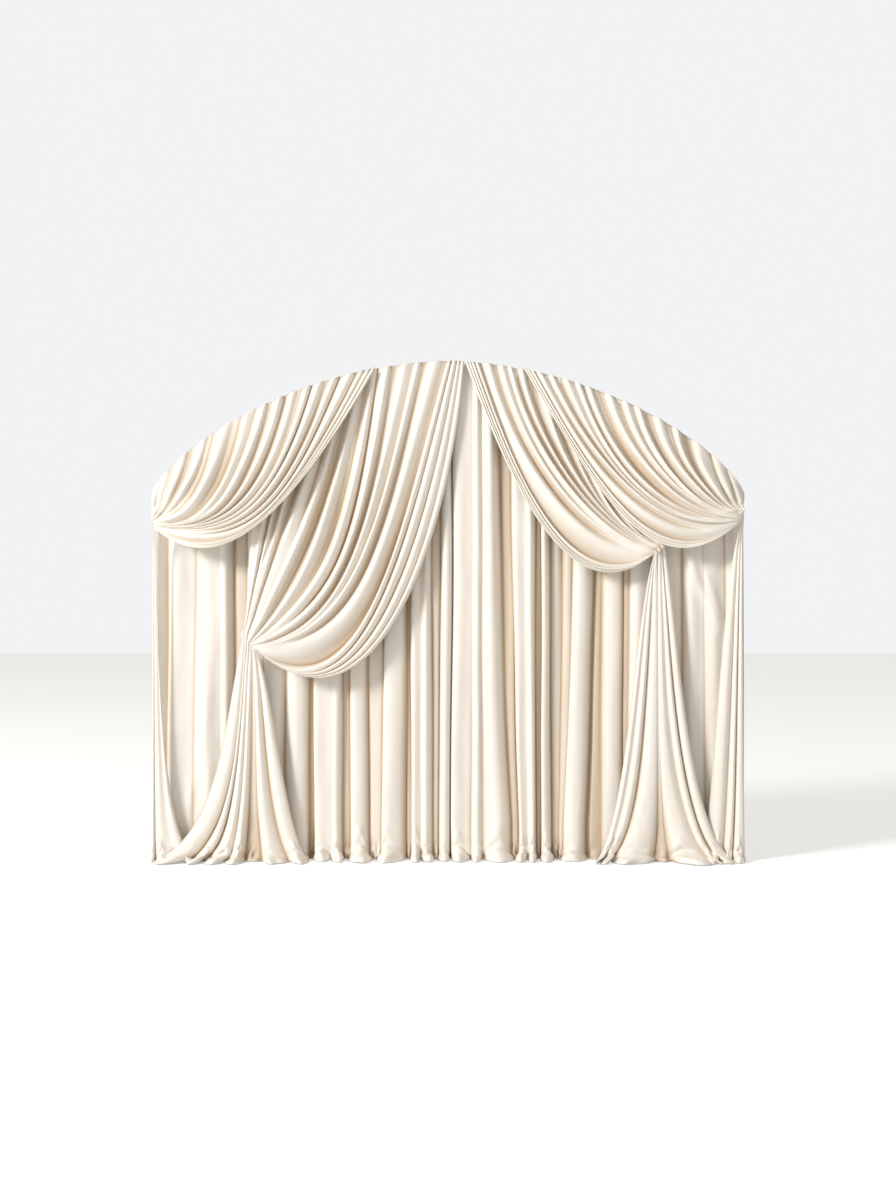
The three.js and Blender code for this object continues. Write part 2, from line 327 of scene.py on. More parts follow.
@dataclass(frozen=True)
class Rest:
    """How a hem comes to rest on the floor.

    Attributes:
        bend: Height of the cloth's bend above the floor, on the ridges.
        notch: The same in the creases.
        reach: How far the bend comes forward, as a share of its height.
        zone: Height above the floor where the hem's closer rows begin.
        puff: Height of the rounded folds that lie on the floor.
        lump: Height of the small crumples in them.
        buckle: Depth of the knee that the hem's weight presses into each ridge.
    """

    bend: float
    notch: float = 8.0
    reach: float = 0.6
    zone: float = 170.0
    puff: float = 26.0
    lump: float = 12.0
    buckle: float = 11.0


@dataclass(frozen=True)
class Pinch:
    """Place where all folds of a panel meet, and the width and tilt in degrees of the gathered bundle."""

    x: float
    z: float
    width: float
    tilt: float


@dataclass(frozen=True)
class VelvetFinish:
    """Short-pile cream velvet, with warm painted shade that darkens into the creases.

    Attributes:
        name: Name of the material.
        ridge: Colour of the pile on the ridges.
        crease: Painted shade colour of the pile in the creases.
        roughness: Roughness of the pile.
        sheen: Weight of the sheen.
        deepest_shade: Painted shade colour of the thin dark line deep in the creases.
    """

    name: str
    ridge: tuple[float, float, float]
    crease: tuple[float, float, float]
    roughness: float
    sheen: float
    deepest_shade: tuple[float, float, float] = (0.34, 0.23, 0.15)

    def material(self) -> bpy.types.Material:
        """Builds the material, once.

        Returns:
            The material.
        """
        known = bpy.data.materials.get(self.name)
        if known:
            return known
        material = bpy.data.materials.new(self.name)
        material.use_nodes = True
        nodes, links = material.node_tree.nodes, material.node_tree.links
        shader = nodes["Principled BSDF"]
        shader.inputs["Sheen Weight"].default_value = self.sheen
        shader.inputs["Sheen Roughness"].default_value = 0.4
        shader.inputs["Sheen Tint"].default_value = (1.0, 0.96, 0.9, 1.0)
        shader.inputs["Specular IOR Level"].default_value = 0.3
        pile = nodes.new("ShaderNodeGroup")
        pile.node_tree = pile_group()
        # The ridge colour is the pile's own; the crease colour and the dark line's colour are painted shade,
        # laid on by the depth in the folds.
        pile.inputs["Ridge"].default_value = (*self.ridge, 1.0)
        pile.inputs["Crease"].default_value = (*self.crease, 1.0)
        pile.inputs["Deepest"].default_value = (*self.deepest_shade, 1.0)
        pile.inputs["Roughness"].default_value = self.roughness
        bump = nodes.new("ShaderNodeBump")
        bump.inputs["Strength"].default_value = 0.35
        bump.inputs["Distance"].default_value = 0.0006
        links.new(pile.outputs["Colour"], shader.inputs["Base Color"])
        links.new(pile.outputs["Roughness"], shader.inputs["Roughness"])
        links.new(pile.outputs["Height"], bump.inputs["Height"])
        links.new(bump.outputs["Normal"], shader.inputs["Normal"])
        return material


def pile_group() -> bpy.types.NodeTree:
    """Node group of the velvet's pile and of the shade painted into its creases, shared by all the cloth.

    Returns:
        The group: Ridge, Crease, Deepest and Roughness in; Colour with the painted crease shade, Roughness
            and Height out.
    """
    known = bpy.data.node_groups.get("velvet_pile")
    if known:
        return known
    group = bpy.data.node_groups.new("velvet_pile", "ShaderNodeTree")
    for name, kind, way in (
        ("Ridge", "NodeSocketColor", "INPUT"),
        ("Crease", "NodeSocketColor", "INPUT"),
        ("Deepest", "NodeSocketColor", "INPUT"),
        ("Roughness", "NodeSocketFloat", "INPUT"),
        ("Colour", "NodeSocketColor", "OUTPUT"),
        ("Roughness", "NodeSocketFloat", "OUTPUT"),
        ("Height", "NodeSocketFloat", "OUTPUT"),
    ):
        group.interface.new_socket(name=name, in_out=way, socket_type=kind)
    nodes, links = group.nodes, group.links
    inside, outside = nodes.new("NodeGroupInput"), nodes.new("NodeGroupOutput")
    place = nodes.new("ShaderNodeUVMap")
    place.uv_map = "cloth"

    def noise(scale: float, detail: float, stretch: tuple[float, float, float],
              where: bpy.types.NodeSocket = place.outputs["UV"]) -> bpy.types.NodeSocket:
        """Noise on the cloth's own flat sizes, or on another place.

        Args:
            scale: Grains in a metre.
            detail: How many finer layers it has.
            stretch: Scale along each axis, below 1 where it is drawn out.
            where: Place that it reads.

        Returns:
            The noise.
        """
        mapping = nodes.new("ShaderNodeMapping")
        mapping.inputs["Scale"].default_value = stretch
        texture = nodes.new("ShaderNodeTexNoise")
        texture.inputs["Scale"].default_value = scale
        texture.inputs["Detail"].default_value = detail
        links.new(where, mapping.inputs["Vector"])
        links.new(mapping.outputs["Vector"], texture.inputs["Vector"])
        return texture.outputs["Fac"]

    def between(low: float, high: float, value: bpy.types.NodeSocket, floor: float, top: float
                ) -> bpy.types.NodeSocket:
        """Maps a value from one range onto another, and keeps it there.

        Args:
            low: Lowest value.
            high: Highest value.
            value: The value.
            floor: What the lowest becomes.
            top: What the highest becomes.

        Returns:
            The mapped value.
        """
        node = nodes.new("ShaderNodeMapRange")
        for name, number in (("From Min", low), ("From Max", high), ("To Min", floor), ("To Max", top)):
            node.inputs[name].default_value = number
        links.new(value, node.inputs["Value"])
        return node.outputs["Result"]

    def arithmetic(operation: str, first: bpy.types.NodeSocket, second: bpy.types.NodeSocket
                   ) -> bpy.types.NodeSocket:
        """Result of two values that change over the cloth.

        Args:
            operation: What is done with them.
            first: First value.
            second: Second value.

        Returns:
            The result.
        """
        node = nodes.new("ShaderNodeMath")
        node.operation = operation
        links.new(first, node.inputs[0])
        links.new(second, node.inputs[1])
        return node.outputs["Value"]

    def blend(share: bpy.types.NodeSocket, first: bpy.types.NodeSocket, second: bpy.types.NodeSocket
              ) -> bpy.types.NodeSocket:
        """Colour between two, by a share that changes over the cloth.

        Args:
            share: Share of the second colour.
            first: First colour.
            second: Second colour.

        Returns:
            The colour.
        """
        node = nodes.new("ShaderNodeMix")
        node.data_type = "RGBA"
        for name, source in (("Factor", share), ("A", first), ("B", second)):
            links.new(source, node.inputs[name])
        return node.outputs["Result"]

    pile = noise(900.0, 3.0, (1.0, 1.0, 1.0))
    brushed = noise(14.0, 4.0, (1.0, 0.25, 1.0))
    cloud = noise(2.2, 2.0, (1.0, 0.6, 1.0))
    # Painted shade: the colour goes from the ridge colour to the crease colour by the depth in the fold, and
    # to a dark line deep in the creases.
    depth = nodes.new("ShaderNodeAttribute")
    depth.attribute_name = "painted_shade_depth"
    shade = between(0.12, 0.9, depth.outputs["Fac"], 0.0, 1.0)
    shaded_colour = blend(shade, inside.outputs["Ridge"], inside.outputs["Crease"])
    deepest_shade = blend(between(0.92, 1.0, depth.outputs["Fac"], 0.0, 0.5), shaded_colour, inside.outputs["Deepest"])
    tone = nodes.new("ShaderNodeHueSaturation")
    streaks, clouds = between(0.3, 0.7, brushed, 0.97, 1.03), between(0.3, 0.7, cloud, 0.975, 1.02)
    links.new(arithmetic("MULTIPLY", streaks, clouds), tone.inputs["Value"])
    links.new(deepest_shade, tone.inputs["Color"])
    links.new(tone.outputs["Color"], outside.inputs["Colour"])
    rough = arithmetic("ADD", inside.outputs["Roughness"], between(0.3, 0.7, brushed, -0.06, 0.06))
    links.new(rough, outside.inputs["Roughness"])
    wrinkled = noise(24.0, 3.0, (1.0, 1.0, 0.4), nodes.new("ShaderNodeTexCoord").outputs["Object"])
    height = nodes.new("ShaderNodeMath")
    height.operation = "MULTIPLY_ADD"
    height.inputs[1].default_value = WRINKLE_HEIGHT
    links.new(wrinkled, height.inputs[0])
    links.new(pile, height.inputs[2])
    links.new(height.outputs["Value"], outside.inputs["Height"])
    return group


# The creases of the cream and tie velvets get painted warm shade; the reverse has one plain colour and no
# painted shade.
CREAM_VELVET = VelvetFinish("cream_velvet", (0.9, 0.858, 0.795), (0.59, 0.455, 0.32), 0.44, 0.2)
WOVEN_BACK = (0.8, 0.74, 0.66)
PLAIN_REVERSE = VelvetFinish("plain_reverse", WOVEN_BACK, WOVEN_BACK, 0.75, 0.05, WOVEN_BACK)
TIE_VELVET = VelvetFinish("twisted_velvet", (0.78, 0.69, 0.57), (0.42, 0.31, 0.21), 0.6, 0.2)


@dataclass(frozen=True)
class Folds:
    """Where each point of a sheet lies within its folds.

    Attributes:
        creases: The creases, with the sheet's two edges.
        fold: Index of each point's fold.
        within: Place within the fold, from -1 at the crease before it to 1 at the next.
    """

    creases: tuple[Crease, ...]
    fold: np.ndarray
    within: np.ndarray

    def column(self, name: str) -> np.ndarray:
        """One column of the crease table."""
        return column(self.creases, name)

    def of_fold(self, name: str) -> np.ndarray:
        """One column of the crease table, at each point's fold."""
        return self.column(name)[self.fold]

    def beside(self, values: np.ndarray, step: int = 0) -> np.ndarray:
        """Reads values by row and crease at the crease before each point, or step creases on."""
        return np.take_along_axis(values, self.fold + step, axis=1)

    def dip(self, depths: np.ndarray, backs: np.ndarray, fuller: np.ndarray) -> np.ndarray:
        """Shape across the folds: from each ridge down to the creases beside it.

        Args:
            depths: Depth of each crease, by row and crease.
            backs: How far each ridge stands back, by row and crease.
            fuller: How much flatter the folds' fronts are than their table says, by row.

        Returns:
            How far each point lies behind the foremost ridges, in millimetres.
        """
        crease = self.fold + (self.within > 0)
        gap = np.clip(self.column("gap"), 0.0, 0.8)[crease]
        soft = self.column("soft")[crease]
        near = np.clip(np.abs(self.within) / (1.0 - gap), 0.0, 1.0)
        curve = near ** (self.of_fold("flat") + fuller[:, None])
        curve = curve * (1.0 - soft) + np.sin(near * math.pi / 2) ** 2 * soft
        lowest = np.minimum(depths, np.roll(depths, -1, axis=1))
        ridge = self.beside(np.minimum(backs, lowest))
        return ridge + (np.take_along_axis(depths, crease, axis=1) - ridge) * curve

    @staticmethod
    def at(creases: tuple[Crease, ...], heads: np.ndarray, place: np.ndarray) -> "Folds":
        """Finds the folds that points lie in.

        Args:
            creases: The creases.
            heads: Place of each crease on the top edge, by row and crease.
            place: Place of each point on the top edge, by row and column.

        Returns:
            The folds.
        """
        fold = np.zeros(place.shape, int)
        for index in range(1, len(creases) - 1):
            fold[place >= heads[:, index:index + 1]] = index
        left = np.take_along_axis(heads, fold, axis=1)
        right = np.take_along_axis(heads, fold + 1, axis=1)
        within = np.clip(2.0 * (place - left) / np.maximum(right - left, 1.0) - 1.0, -1.0, 1.0)
        return Folds(creases, fold, within)


@dataclass
class ClothSheet:
    """One cut piece of velvet, draped.

    Attributes:
        node: CAD node that it stands for.
        flat: Width and length that it was cut to, in metres; not used in this script.
        held: How it is held; not used in this script.
        creases: Its creases, from its left edge to its right edge.
        columns: About how many grid columns it has.
        rows: How many grid rows it has.
        seed: Seed of its unevenness.
        flat_area: Area of the cut, in square metres, where it isn't the whole rectangle; not used in this
            script.
        finish: Its velvet.
        reverse: The plain side behind.
        rest: How its hem comes to rest on the floor.
        floor_stage: Stage where its hem's closer rows begin.
    """

    node: str
    flat: tuple[float, float]
    held: Held
    creases: tuple[Crease, ...]
    columns: int
    rows: int
    seed: int
    flat_area: float | None = None
    finish: VelvetFinish = CREAM_VELVET
    reverse: VelvetFinish = PLAIN_REVERSE
    rest: Rest = Rest(62.0)
    floor_stage: float = 1.0

    # Shares of the last stage at which the bend and the toe begin.
    BEND_FROM = 0.3
    TOE_FROM = 0.64

    def drape(self, folds: Folds, down: np.ndarray) -> tuple[np.ndarray, np.ndarray]:
        """Works out where each point of the sheet hangs.

        Args:
            folds: The sheet's folds.
            down: Stage of each row.

        Returns:
            Points in millimetres, by row and column, and the painted shade of each from its depth in its
            fold, from 0 to 1.
        """
        raise NotImplementedError

    def stages(self) -> np.ndarray:
        """Stage of each grid row."""
        raise NotImplementedError

    def share_columns(self) -> Folds:
        """Shares the columns out among the folds, by their widths, closer together near the creases.

        Returns:
            The folds, alike in every row.
        """
        widths = np.diff(self.column_of("head"))
        shares = np.sqrt(widths / widths.mean())
        counts = np.maximum(np.round(self.columns * shares / shares.sum()).astype(int), 6)
        fold, within = [0], [-1.0]
        for index, count in enumerate(counts):
            steps = np.arange(1, count + 1) / count
            fold.extend([index] * count)
            within.extend(np.sin((steps - 0.5) * math.pi) * 0.55 + (2.0 * steps - 1.0) * 0.45)
        shape = (self.rows, len(fold))
        in_rows = [np.broadcast_to(np.array(values), shape) for values in (fold, within)]
        return Folds(self.creases, *in_rows)

    def column_of(self, name: str) -> np.ndarray:
        """One column of the crease table."""
        return column(self.creases, name)

    @staticmethod
    def shade(dip: np.ndarray, within: np.ndarray) -> np.ndarray:
        """How much painted shade each point gets, from 0 to 1, by its depth in its fold and by how near its
        crease is.
        """
        # A thin painted dark line along each crease that is deep enough.
        line = 0.6 * np.abs(within) ** 7 * smooth(3.0, 14.0, dip)
        return np.clip(dip / 60.0 + line, 0.0, 1.0)

    def wander(self, down: np.ndarray, step: int, cells: int) -> np.ndarray:
        """Unevenness of each crease on its way down.

        Args:
            down: Share of the way down of each row.
            step: Number that sets this unevenness apart from the sheet's others.
            cells: How many times it changes on the way down.

        Returns:
            Values between about -1 and 1, by row and crease.
        """
        count = len(self.creases)
        lattice = np.random.default_rng(self.seed + step).uniform(-1.0, 1.0, (cells + 4, count))
        place = np.clip(down, 0.0, 1.0) * cells
        cell = np.floor(place).astype(int)
        total = np.zeros((len(down), count))
        for row, weight in enumerate(Drift.weights(place - cell)):
            total += lattice[cell + row] * weight[:, None]
        return LATTICE_GAIN * total

    def settle(self, folds: Folds, down: np.ndarray, start: np.ndarray, train: np.ndarray
               ) -> tuple[np.ndarray, np.ndarray, np.ndarray]:
        """Brings the cloth down to the floor, bends it forward there and lays its hem along the floor.

        Args:
            folds: The sheet's folds at the floor.
            down: Stage of each row.
            start: Height above the floor where the last whole stage begins, by row and column.
            train: How far the cloth runs on along the floor, by row and column.

        Returns:
            Height above the floor, how far the bend brings it forward, and how far it has run on.
        """
        rest, within, fold = self.rest, folds.within, folds.fold
        count = len(folds.creases)
        chance = np.random.default_rng(self.seed + 20).uniform(-1.0, 1.0, (3, count))[:, fold]
        lies = folds.of_fold("lies")
        place = (fold + within / 2 + 0.5) / count

        # Across each fold: where its bend is highest, and how far it lies on the floor.
        rounded = 1.0 - np.abs(within) ** 3
        apex = 0.4 * chance[1]
        pointed = np.where(within < apex, (within + 1.0) / (apex + 1.0), (1.0 - within) / (1.0 - apex))
        highest = np.maximum(rest.bend * lies * (1.0 + 0.3 * chance[0]) - rest.notch, 0.0)
        bend = rest.notch + highest * (0.4 * rounded + 0.6 * pointed)
        ragged = 1.0 + 0.3 * Drift(self.seed + 24, 5 * count, 1).read(place, 0.0 * place)
        lying = train * lies * (0.12 + 0.88 * rounded) * (1.0 + 0.2 * chance[2]) * ragged

        # Down the last stage: straight to the bend, round it, and along the floor to the toe.
        hanging = np.clip(down - self.floor_stage + 1.0, 0.0, 1.0)[:, None]
        last = np.clip(down - self.floor_stage, 0.0, 1.0)[:, None]
        angle = math.pi / 2 * np.clip((last - self.BEND_FROM) / (self.TOE_FROM - self.BEND_FROM), 0.0, 1.0)
        laid = math.pi / 2 * np.clip((last - self.TOE_FROM) / (1.0 - self.TOE_FROM), 0.0, 1.0)
        crumple = Drift(self.seed + 21, 4 * count, 8).read(place, last + 0.0 * place)
        toe = np.minimum((rest.puff + rest.lump * crumple) * rounded * lies + 3.0, 0.7 * bend)
        height = mix(rest.zone, bend, np.clip(last / self.BEND_FROM, 0.0, 1.0))
        height = height - (bend - toe) * np.sin(angle) - toe * (1.0 - np.cos(laid))
        height = np.where(last > 0, height, mix(start, rest.zone, hanging))
        run = lying * np.sin(laid)

        # The hem's weight presses a knee into each ridge, and the cloth near the floor is wrinkled.
        knee = bump(height, 1.35 * bend, 24.0) - 0.9 * bump(height, 0.8 * bend, 14.0)
        knee = knee * rest.buckle * (0.6 + 0.4 * chance[2]) * bump(within, apex, 0.4)
        near = 1.0 - smooth(10.0, 95.0, height)
        wrinkle = 0.8 * rest.lump * near * Drift(self.seed + 23, 6 * count, 9).read(place, height / rest.zone)
        forward = rest.reach * bend * (1.0 - np.cos(angle)) + (knee + wrinkle) * (last > 0)
        return height, forward, run

    def build(self) -> bpy.types.Object:
        """Returns:
            The finished piece.
        """
        points, depth = self.drape(self.share_columns(), self.stages())
        rows, columns = depth.shape
        shaped = bmesh.new()
        bmesh.ops.create_grid(shaped, x_segments=columns - 1, y_segments=rows - 1, size=1.0)
        mesh = finished_mesh("cloth_" + self.node, shaped)
        spots = np.empty(len(mesh.vertices) * 3, np.float32)
        mesh.vertices.foreach_get("co", spots)
        spots = spots.reshape(-1, 3)
        column = np.rint((spots[:, 0] + 1.0) / 2.0 * (columns - 1)).astype(int)
        row = np.rint((1.0 - spots[:, 1]) / 2.0 * (rows - 1)).astype(int)
        mesh.vertices.foreach_set("co", (points[row, column] * MM).astype(np.float32).ravel())
        self.lay_uv(mesh, points * MM, row, column)
        # The depth in the folds, which the velvet paints as warm shade in the creases.
        attribute = mesh.attributes.new("painted_shade_depth", "FLOAT", "POINT")
        attribute.data.foreach_set("value", depth[row, column].astype(np.float32))
        mesh.polygons.foreach_set("use_smooth", np.ones(len(mesh.polygons), bool))
        mesh.materials.append(self.finish.material())
        mesh.materials.append(self.reverse.material())
        mesh.update()
        piece = add_object("cloth_" + self.node, mesh)
        thickness = piece.modifiers.new("thickness", "SOLIDIFY")
        thickness.thickness = CLOTH_THICKNESS * MM
        thickness.offset = -1.0
        thickness.material_offset = 1
        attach(piece, BODY)
        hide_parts(self.node)
        LOG.info("%s: %d columns, %d rows", piece.name, columns, rows)
        return piece

    @staticmethod
    def lay_uv(mesh: bpy.types.Mesh, points: np.ndarray, row: np.ndarray, column: np.ndarray) -> None:
        """Gives the cloth a map in metres along its own surface, for the pile.

        Args:
            mesh: The sheet's mesh.
            points: Its points in metres, by row and column.
            row: Row of each vertex.
            column: Column of each vertex.
        """
        across = np.linalg.norm(np.diff(points, axis=1), axis=2).max(axis=0)
        along = np.linalg.norm(np.diff(points, axis=0), axis=2).max(axis=1)
        u = np.concatenate([[0.0], np.cumsum(across)])
        v = np.concatenate([[0.0], np.cumsum(along)])
        corner = np.empty(len(mesh.loops), np.int32)
        mesh.loops.foreach_get("vertex_index", corner)
        layer = mesh.uv_layers.new(name="cloth")
        place = np.stack([u[column[corner]], -v[row[corner]]], axis=1)
        layer.data.foreach_set("uv", place.astype(np.float32).ravel())


@dataclass(frozen=True)
class Drag:
    """Soft slanting fold that the cloth is pulled into.

    Attributes:
        x: Place across where it starts.
        z: Height where it starts.
        end_x: Place across where it ends.
        end_z: Height where it ends.
        bow: 1 for a straight fold, more for one that turns late.
        wide: Half its width.
        high: How far forward it stands.
    """

    x: float
    z: float
    end_x: float
    end_z: float
    bow: float
    wide: float
    high: float

    def rise(self, x: np.ndarray, z: np.ndarray) -> np.ndarray:
        """How far forward it brings the cloth.

        Args:
            x: Places across.
            z: Heights.

        Returns:
            The way forward there, in millimetres.
        """
        along = (z - self.z) / (self.end_z - self.z)
        share = np.clip(along, 0.0, 1.0)
        middle = self.x + (self.end_x - self.x) * share**self.bow
        fades = smooth(0.0, 0.35, along) * (1.0 - smooth(0.9, 1.04, along))
        return self.high * fades * bump(x, middle, self.wide * (1.2 - 0.6 * share))


@dataclass
class BackCurtain(ClothSheet):
    """The pleated curtain behind the panels, cut to the arch and falling to the floor.

    Attributes:
        standing: How far forward its ridges stand on their way down.
        drags: Its slanting folds.
        train: How far its ridges run on along the floor.
    """

    standing: tuple[Stage, ...] = ()
    drags: tuple[Drag, ...] = ()
    train: float = 38.0

    # Width up to which a fold that stands back gets as much painted shade as a crease, and the least share of
    # that painted shade.
    NARROW = 38.0
    OPEN_SHADE = 0.3
    # Most degrees that a fold's train turns on the floor.
    TURN = 28.0

    def stages(self) -> np.ndarray:
        """Shares the rows out, closer together near the hem.

        Returns:
            Stage of each row: 0 at the top edge, 1 a little above the floor and 2 at the hem.
        """
        upper = int(self.rows * 0.68)
        hem = np.linspace(0.0, 1.0, self.rows - upper + 1)[1:]
        return np.concatenate([np.linspace(0.0, 1.0, upper), 1.0 + hem])

    def drape(self, folds: Folds, down: np.ndarray) -> tuple[np.ndarray, np.ndarray]:
        """Works out where each point of the curtain hangs.

        Args:
            folds: The sheet's folds.
            down: Stage of each row.

        Returns:
            Points in millimetres, by row and column, and the painted shade of each from its depth in its
            fold, from 0 to 1.
        """
        fallen, last = np.clip(down, 0.0, 1.0), np.clip(down - 1.0, 0.0, 1.0)
        head, foot, within = self.column_of("head"), self.column_of("foot"), folds.within

        # Across: each crease on its way down, with the folds that stand back drawn together at the floor.
        heads = mix(head, foot, fallen[:, None] ** 2) + 4.0 * self.wander(fallen, 1, 5)
        recess = self.column_of("back")[:-1] / 46.0 * np.diff(head) * 0.4
        drawn = np.append(recess, 0.0) - np.insert(recess, 0, 0.0)
        heads = heads + drawn * smooth(0.1, 1.0, last)[:, None]
        heads[:, 0], heads[:, -1] = head[0], head[-1]
        left, right = folds.beside(heads), folds.beside(heads, 1)
        lap = (self.column_of("lap") + 0.16 * self.wander(fallen, 2, 3)) * (1.0 - 0.8 * last[:, None])
        x = (left + right) / 2 + (right - left) / 2 * (within + folds.beside(lap) * (1.0 - within**2))
        top = np.broadcast_to(arch_top(x[0]) - HEM, x.shape)
        height, forward, run = self.settle(folds, down, top, np.full(x.shape, self.train))

        # Out of the front: the folds, the stand of their ridges, and the cloth's unevenness.
        shallow, full, low = self.column_of("top"), self.column_of("belly"), self.column_of("tail")
        deep = mix(shallow, full, smooth(0.0, 0.2, fallen)[:, None])
        deep = deep + (low - full) * smooth(0.5, 1.0, fallen)[:, None]
        deep = deep * (1.0 + 0.1 * self.wander(fallen, 3, 4))
        backs = self.column_of("back") * smooth(0.0, 0.2, fallen)[:, None]
        dip = folds.dip(deep, backs, 1.5 * smooth(0.3, 1.0, last))
        stand = CurveTable(self.standing, "at").read("forward", down)[:, None]
        share_x = (x + HALF_WIDTH) / (2 * HALF_WIDTH)
        share_y = np.broadcast_to(fallen[:, None], x.shape)
        swell = 4.0 * Drift(self.seed + 10, 40, 5).read(share_x, share_y) * (1.0 - within**2)
        ripple = 1.2 * Drift(self.seed + 11, 110, 14).read(share_x, share_y)
        chance = np.random.default_rng(self.seed + 12).uniform(-1.0, 1.0, len(head))
        turn = np.radians(self.TURN * chance)[folds.fold]
        pulled = sum(drag.rise(x, HEM + height) for drag in self.drags)
        y = np.minimum(dip - stand - swell - ripple - pulled - forward - run * np.cos(turn), -4.0)
        x = np.clip(x + run * np.sin(turn) * (1.0 - within**2), -HALF_WIDTH, HALF_WIDTH)
        # Painted shade: narrow folds that stand back are shaded all over, wide ones mostly near their
        # creases.
        narrow = np.clip(self.NARROW / np.diff(head), self.OPEN_SHADE, 1.0)[folds.fold]
        shaded = dip * (narrow + (1.0 - narrow) * np.abs(within) ** 5)
        return np.stack([x, y, HEM + height], axis=2), self.shade(shaded, within)


@dataclass
class DrawnPanel(ClothSheet):
    """A panel that hangs from the arch, is drawn aside to a pinch, and falls from there to the floor.

    Attributes:
        side: Side that it is drawn to.
        pinch: Where its folds meet.
        standing: How far forward its ridges stand on their way down.
        flow: Paths of the cloth, from its left edge to its right edge.
        rolls: The creases between the few wide rolls of its tail: their depth below the pinch, halfway
            and at the floor. Each keeps the place of one of its creases above.
        ridge_lean: How far the ridges in the belly lie towards the left edge of their folds, below 0,
            or the right edge.
        edge_hold: How much of its way forward the cloth loses at the edge on the tied side.
        knuckle: How far the gathered bundle stands out at the pinch.
        crumple: Height of the crumples just above the pinch, on the tied side.
    """

    side: Side = Side.LEFT
    pinch: Pinch = Pinch(0.0, 0.0, 1.0, 0.0)
    standing: tuple[Stage, ...] = ()
    flow: tuple[Flow, ...] = ()
    rolls: tuple[Crease, ...] = ()
    ridge_lean: float = -0.3
    edge_hold: float = 0.0
    knuckle: float = 12.0
    crumple: float = 3.0
    floor_stage: float = 2.0

    # Shares of the tail's height over which it keeps its way down at the pinch and at the floor.
    FALL = 0.24
    LIFT = 0.12
    # Deepest that a crease may be, as a share of the room beside it: above the pinch and in the tail.
    FOLD_DEPTH = 1.6
    ROLL_DEPTH = 0.8
    # Stages over which a crease runs out.
    RUN_OUT = 0.25

    def stages(self) -> np.ndarray:
        """Shares the rows out, closer together near the pinch and the hem.

        Returns:
            Stage of each row: 0 at the top edge, 1 at the pinch, 2 a little above the floor and 3 at the hem.
        """
        upper, tail = int(self.rows * 0.48), int(self.rows * 0.32)
        above = np.linspace(0.0, 1.0, upper)
        above = above * 0.75 + 0.25 * (1.0 - (1.0 - above) ** 2)
        below = np.linspace(0.0, 1.0, tail + 1)[1:]
        below = below * 0.7 + 0.3 * below**2
        hem = np.linspace(0.0, 1.0, self.rows - upper - tail + 1)[1:]
        return np.concatenate([above, 1.0 + below, 2.0 + hem])

    def share_across(self, head: np.ndarray) -> np.ndarray:
        """How far from the tied side a place on the top edge is.

        Args:
            head: Places on the top edge.

        Returns:
            Shares of the panel's top edge, from 0 at the tied side to 1.
        """
        first, last = self.creases[0].head, self.creases[-1].head
        share = (head - first) / (last - first)
        return share if self.side is Side.LEFT else 1.0 - share

    def knot(self, head: np.ndarray) -> tuple[np.ndarray, np.ndarray]:
        """Where the cloth passes through the pinch.

        Args:
            head: Places on the top edge that it comes from.

        Returns:
            Places across and heights, in millimetres.
        """
        offset = self.pinch.width * (self.share_across(head) - 0.5)
        tilt = math.radians(self.pinch.tilt)
        across = self.pinch.x - self.side.value * offset * math.cos(tilt)
        return across, self.pinch.z - offset * math.sin(tilt)

    def hung_path(self, head: np.ndarray, stage: np.ndarray) -> tuple[np.ndarray, np.ndarray]:
        """Path of the cloth above the pinch, seen from the front.

        Args:
            head: Places on the top edge, by row and column.
            stage: Stages down the cloth, by row and column.

        Returns:
            Places across and heights, in millimetres.
        """
        way = self.side.value
        table = CurveTable(self.flow, "head")
        knot_x, knot_z = self.knot(head)
        lean, arrive = np.radians(table.read("lean", head)), np.radians(table.read("arrive", head))
        drop, reach = table.read("drop", head), table.read("reach", head)
        top, t = arch_top(head), np.clip(stage, 0.0, 1.0)
        out_x, out_z = head + way * np.sin(lean) * drop, top - np.cos(lean) * drop
        in_x, in_z = knot_x - way * np.cos(arrive) * reach, knot_z + np.sin(arrive) * reach
        x, z = self.bezier(t, head, out_x, in_x, knot_x), self.bezier(t, top, out_z, in_z, knot_z)
        return x, z

    def tail_path(self, head: np.ndarray, fallen: np.ndarray) -> np.ndarray:
        """Places across of the cloth below the pinch.

        Args:
            head: Places on the top edge, by row and column.
            fallen: Share of the way from the pinch down to the floor.

        Returns:
            Places across, in millimetres.
        """
        steps = np.linspace(0.0, 1.0, 200)
        t = np.interp(fallen, self.bezier(steps, 0.0, self.FALL, 1.0 - self.LIFT, 1.0), steps)
        table = CurveTable(self.flow, "head")
        knot_x, _ = self.knot(head)
        flare, far = table.read("flare", head), table.read("foot", head) - knot_x
        return knot_x + far * self.bezier(t, 0.0, 0.5 - 0.25 * flare, 0.8 - 0.5 * flare, 1.0)

    @staticmethod
    def bezier(t: np.ndarray, a: np.ndarray, b: np.ndarray, c: np.ndarray, d: np.ndarray) -> np.ndarray:
        """Cubic curve through a and d that leaves towards b and arrives from c."""
        u = 1.0 - t
        return u**3 * a + 3 * u**2 * t * b + 3 * u * t**2 * c + t**3 * d

